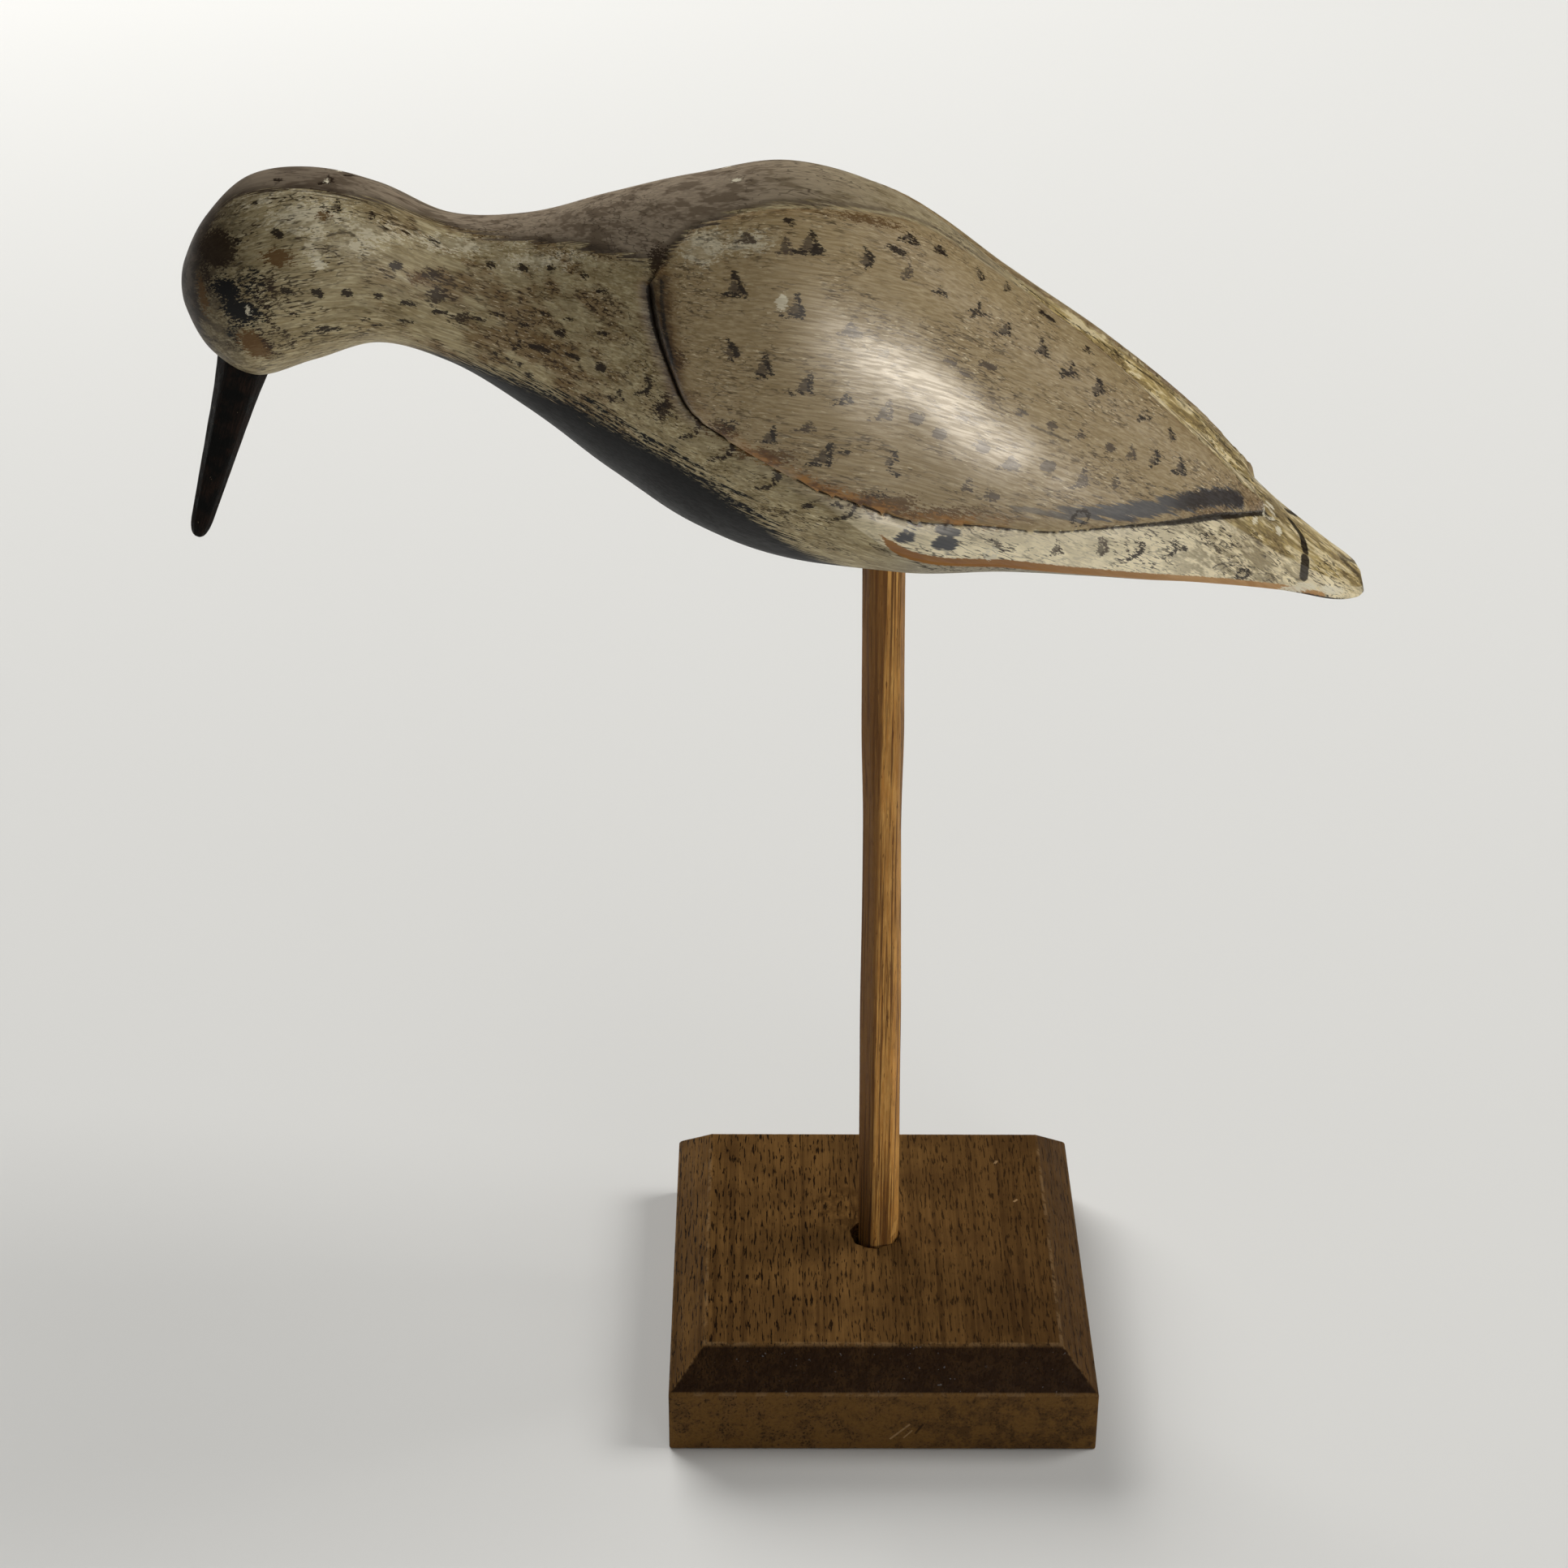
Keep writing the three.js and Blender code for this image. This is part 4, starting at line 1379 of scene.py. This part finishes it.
def dressBill():
    material, tree, finish = startMaterial("blackBill")
    place = objectMillimetres(tree)
    tilted = stretched(place, (1, 1, 1), (0, -bill["tilt"], 0))
    grain = placeGroup(woodGrain, Vector=grainAlong(tilted, "ZXY"), Width=0.7, Pores=0.3)["Grain"]
    dirt = placeGroup(grime, Vector=place, Size=4.0)["Cloud"]
    chips = between(speckle(stretched(tilted, (1, 1, 0.4)), 1.1, 3.0, 0.6), 0.70, 0.74)
    colour = coats(
        billLook["black"], billLook,
        ("brown", dirt, between(grain, 0.1, 0.9, 0.2, 0.75)),
        ("chip", chips, 0.6))
    feed(finish, {
        "Base Color": colour,
        "Specular IOR Level": 0.07,
        "Roughness": between(dirt, 0.0, 1.0, 0.45, 0.6),
        "Normal": bumped(less(grain, chips), 0.06),
    })
    return material


beak = shapeBill("blackBill", 0, bill["length"])
dress(beak, dressBill())
print("bill shaped")


# The walnut block

block = {
    "chamfer": 7.5,
    "edge": 0.45,           # how round its edges were rubbed
    "holeRadius": (5.3, 4.9),
    "holeAside": (-0.9, -0.1),
}


def shapeBlock():
    deselectAll()
    width = (baseBox[1].x - baseBox[0].x) / mm
    height = baseBox[1].z / mm
    side = height - block["chamfer"]
    bpy.ops.mesh.primitive_cube_add(
        size=1, location=(0, 0, side / 2 * mm), scale=(width * mm, width * mm, side * mm))
    slab = bpy.context.object
    slab.name = "walnutBlock"
    settle(slab)
    bpy.ops.object.mode_set(mode="EDIT")
    bpy.ops.mesh.select_mode(type="FACE")
    bpy.ops.mesh.select_all(action="DESELECT")
    bpy.ops.object.mode_set(mode="OBJECT")
    for face in slab.data.polygons:
        face.select = face.normal.z > 0.9
    bpy.ops.object.mode_set(mode="EDIT")
    bpy.ops.mesh.extrude_region_move(TRANSFORM_OT_translate={"value": (0, 0, block["chamfer"] * mm)})
    shrink = 1 - 2 * block["chamfer"] / width
    bpy.ops.transform.resize(value=(shrink, shrink, 1), center_override=(0, 0, height * mm))
    turnFacesOut(slab)
    rounding = slab.modifiers.new("rubbed edges", "BEVEL")
    rounding.width = block["edge"] * mm
    rounding.segments = 3
    rounding.limit_method = "ANGLE"
    rounding.angle_limit = math.radians(20)
    applyAll(slab)
    cutWith(slab, boreCutter(height))
    smoothBelow(slab, 20)
    return slab


def boreCutter(height):
    # a hole bored a little too wide and rough at its rim
    bottom = height - stick["inBase"] - stick["air"]
    bpy.ops.mesh.primitive_cylinder_add(vertices=48, radius=1, depth=1, location=(0, 0, 0))
    bore = bpy.context.object
    points = readPoints(bore)
    turn = np.arctan2(points[:, 1], points[:, 0])
    rough = 1 + 0.04 * np.sin(3 * turn + 1) + 0.03 * np.sin(7 * turn) + 0.02 * np.sin(13 * turn + 2)
    points[:, 0] = points[:, 0] * block["holeRadius"][0] * rough + block["holeAside"][0]
    points[:, 1] = points[:, 1] * block["holeRadius"][1] * rough + block["holeAside"][1]
    points[:, 2] = np.where(points[:, 2] > 0, height + 5, bottom)
    writePoints(bore, points * mm)
    return bore


blockLook = {
    "walnut": tint(93, 66, 34),
    "pale": tint(107, 77, 41),
    "front": tint(108, 77, 36),
    "dark": tint(54, 35, 17),
    "pore": tint(22, 13, 7),
    "endGrain": tint(38, 21, 7),
    "bloom": tint(96, 92, 92),
    "rubbed": tint(150, 120, 84),
    "stain": (-7.0, 9.0, 22.0),     # the middle of a painted shadow beside the stick, mm
    # scratches and knocks on its front and top: start and end in mm, half width
    "scratches": (((1.6, 2.9), (5.4, 6.6), 0.28), ((4.4, 3.2), (6.0, 5.0), 0.2)),
    "gouge": ((6.8, 4.4), (8.2, 6.6), 0.3),
    "knocks": (((30.4, 11.8), (30.9, 12.3), 0.35), ((27.0, 26.0), (27.3, 26.6), 0.4)),
}


def dressBlock():
    material, tree, finish = startMaterial("darkWalnut")
    place = objectMillimetres(tree)
    x, y, z = separated(place)
    grain, lines, pores = placeGroup(woodGrain, Vector=grainAlong(place, "YXZ"), Width=2.0, Pores=0.75)
    cloud = placeGroup(grime, Vector=place, Size=16.0)["Cloud"]
    small, specks = placeGroup(grime, Vector=place, Size=3.5)
    acrossX = maths("ABSOLUTE", x)
    acrossY = maths("ABSOLUTE", y)
    out = larger(acrossX, acrossY)
    rimAt = baseBox[1].x / mm - block["chamfer"]
    onFront = between(y, -44.0, -44.3)

    # the slopes across the grain are darker
    slope = times(between(acrossY, rimAt + 0.2, rimAt + 0.8), between(z, 14.4, 15.0))
    slope = times(slope, between(less(acrossY, acrossX), -0.3, 0.3))
    colour = coats(
        blend(grain, blockLook["walnut"], blockLook["pale"]), blockLook,
        ("dark", lines, 0.5),
        ("dark", cloud, 0.35),
        ("dark", between(x, -4.0, 36.0, 0.0, 0.45)),
        ("pore", pores, between(x, -20.0, 12.0, 0.95, 0.7)),
        # a painted shadow beside the stick, in the dark end-grain tone
        ("endGrain", between(distanceFrom(place, blockLook["stain"]), 4.0, 12.0, 0.55, 0.0), small),
        ("endGrain", slope, between(small, 0.0, 1.0, 0.97, 0.8)),
        ("bloom", slope, cloud, specks, 0.8),
        ("front", onFront, between(small, 0.0, 1.0, 0.8, 0.2)))

    # edges rubbed pale, here and there
    topRim = times(between(gapFrom(out, rimAt), 0.15, 0.6, 1.0, 0.0), between(z, 21.0, 21.6))
    lowRim = times(between(gapFrom(z, 14.5), 0.15, 0.55, 1.0, 0.0), between(out, 43.6, 44.1))
    hips = times(between(gapFrom(acrossX, acrossY), 0.1, 0.6, 0.8, 0.0), between(z, 14.0, 14.6))
    hips = times(hips, between(out, rimAt - 0.2, rimAt + 0.3))
    rubbed = times(larger(larger(topRim, lowRim), hips), between(small, 0.2, 0.9, 0.04, 0.3))
    for scratch in blockLook["scratches"]:
        rubbed = larger(rubbed, times(nearLine(x, z, *scratch), onFront, 0.75))
    for knock in blockLook["knocks"]:
        rubbed = larger(rubbed, times(nearLine(x, y, *knock), between(z, 21.5, 21.9), 0.8))
    colour = coats(
        colour, blockLook,
        ("rubbed", rubbed),
        ("endGrain", nearLine(x, z, *blockLook["gouge"]), onFront, 0.8))
    feed(finish, {
        "Base Color": colour,
        "Specular IOR Level": 0.07,
        "Roughness": between(grain, 0.0, 1.0, 0.6, 0.72),
        "Normal": bumped(less(grain, times(pores, 2.0)), 0.07),
    })
    return material


slab = shapeBlock()
dress(slab, dressBlock())
print("block shaped")


# Holes in the bird for its stick and its bill

def stickBore():
    length = stick["inBase"] + stick["shown"] + stick["inBird"] + 2 * stick["air"]
    bpy.ops.mesh.primitive_cylinder_add(
        vertices=48, radius=(stick["radius"] + stick["air"]) * mm, depth=length * mm,
        location=(0, 0, (length / 2 - stick["inBase"] - stick["air"]) * mm))
    bore = bpy.context.object
    settle(bore)
    bore.data.transform(leanLine())
    return bore


deselectAll()
cutWith(decoy, stickBore())
cutWith(decoy, shapeBill("billHole", stick["air"], bill["width"] / 2))
smoothBelow(decoy, 38)
print("holes cut:", len(decoy.data.polygons), "faces")


# Floor and lights

studio = {
    "floor": tint(221, 220, 216),
    "sky": 0.03,
    "warm": (1.0, 0.92, 0.8),
    # where each soft light stands and aims, its size in metres, its watts and what it shows in
    "right": ((2.2, -0.2, 1.1), (0, 0, 0.15), (1.5, 1.3), 5, "both"),
    "rightHigh": ((1.5, 0.2, 1.9), (0, 0, 0.15), (1.1, 1.1), 27, "diffuse"),
    "backLeft": ((-1.3, 2.4, 1.6), (-0.6, 1.2, 0), (2.4, 1.8), 108, "diffuse"),
    "lowFront": ((0.9, -1.8, 0.3), (0, 0, 0.2), (1.1, 0.5), 9.5, "diffuse"),
    "window": ((0.85, -1.67, 0.85), (0, 0, 0.2), (0.44, 0.54), 37, "glossy"),
}


def layFloor():
    deselectAll()
    bpy.ops.mesh.primitive_plane_add(size=12, location=(0, 3, 0))
    floor = bpy.context.object
    floor.name = "floor"
    material, _, finish = startMaterial("paleFloor")
    feed(finish, {"Base Color": studio["floor"], "Roughness": 0.9})
    dress(floor, material)


def addLight(name, place, aim, size, watts, shown):
    data = bpy.data.lights.new(name, "AREA")
    data.shape = "RECTANGLE"
    data.size, data.size_y = size
    data.energy = watts
    data.color = studio["warm"] if shown == "glossy" else (1, 1, 1)
    lamp = bpy.data.objects.new(name, data)
    lamp.visible_glossy = shown != "diffuse"
    lamp.visible_diffuse = shown != "glossy"
    bpy.context.scene.collection.objects.link(lamp)
    direction = Vector(aim) - Vector(place)
    lamp.matrix_world = Matrix.Translation(place) @ direction.to_track_quat("-Z", "Y").to_matrix().to_4x4()


def lightStudio():
    world = bpy.data.worlds.new("studio")
    world.use_nodes = True
    sky = world.node_tree.nodes["Background"]
    sky.inputs["Color"].default_value = (1, 1, 1, 1)
    sky.inputs["Strength"].default_value = studio["sky"]
    bpy.context.scene.world = world
    for name in ("right", "rightHigh", "backLeft", "lowFront", "window"):
        addLight(name, *studio[name])
    bpy.context.scene.view_settings.view_transform = "Standard"
    bpy.context.scene.view_settings.look = "None"


layFloor()
lightStudio()
print("studio lit")


# Each piece stands for its solid

for piece, node, slot in (
    (decoy, "decoy_body", "painted_bird"),
    (beak, "bill", "black_bill"),
    (rod, "stick", "bare_stick"),
    (slab, "base", "dark_block"),
):
    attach(piece, "root")
    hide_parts(node)
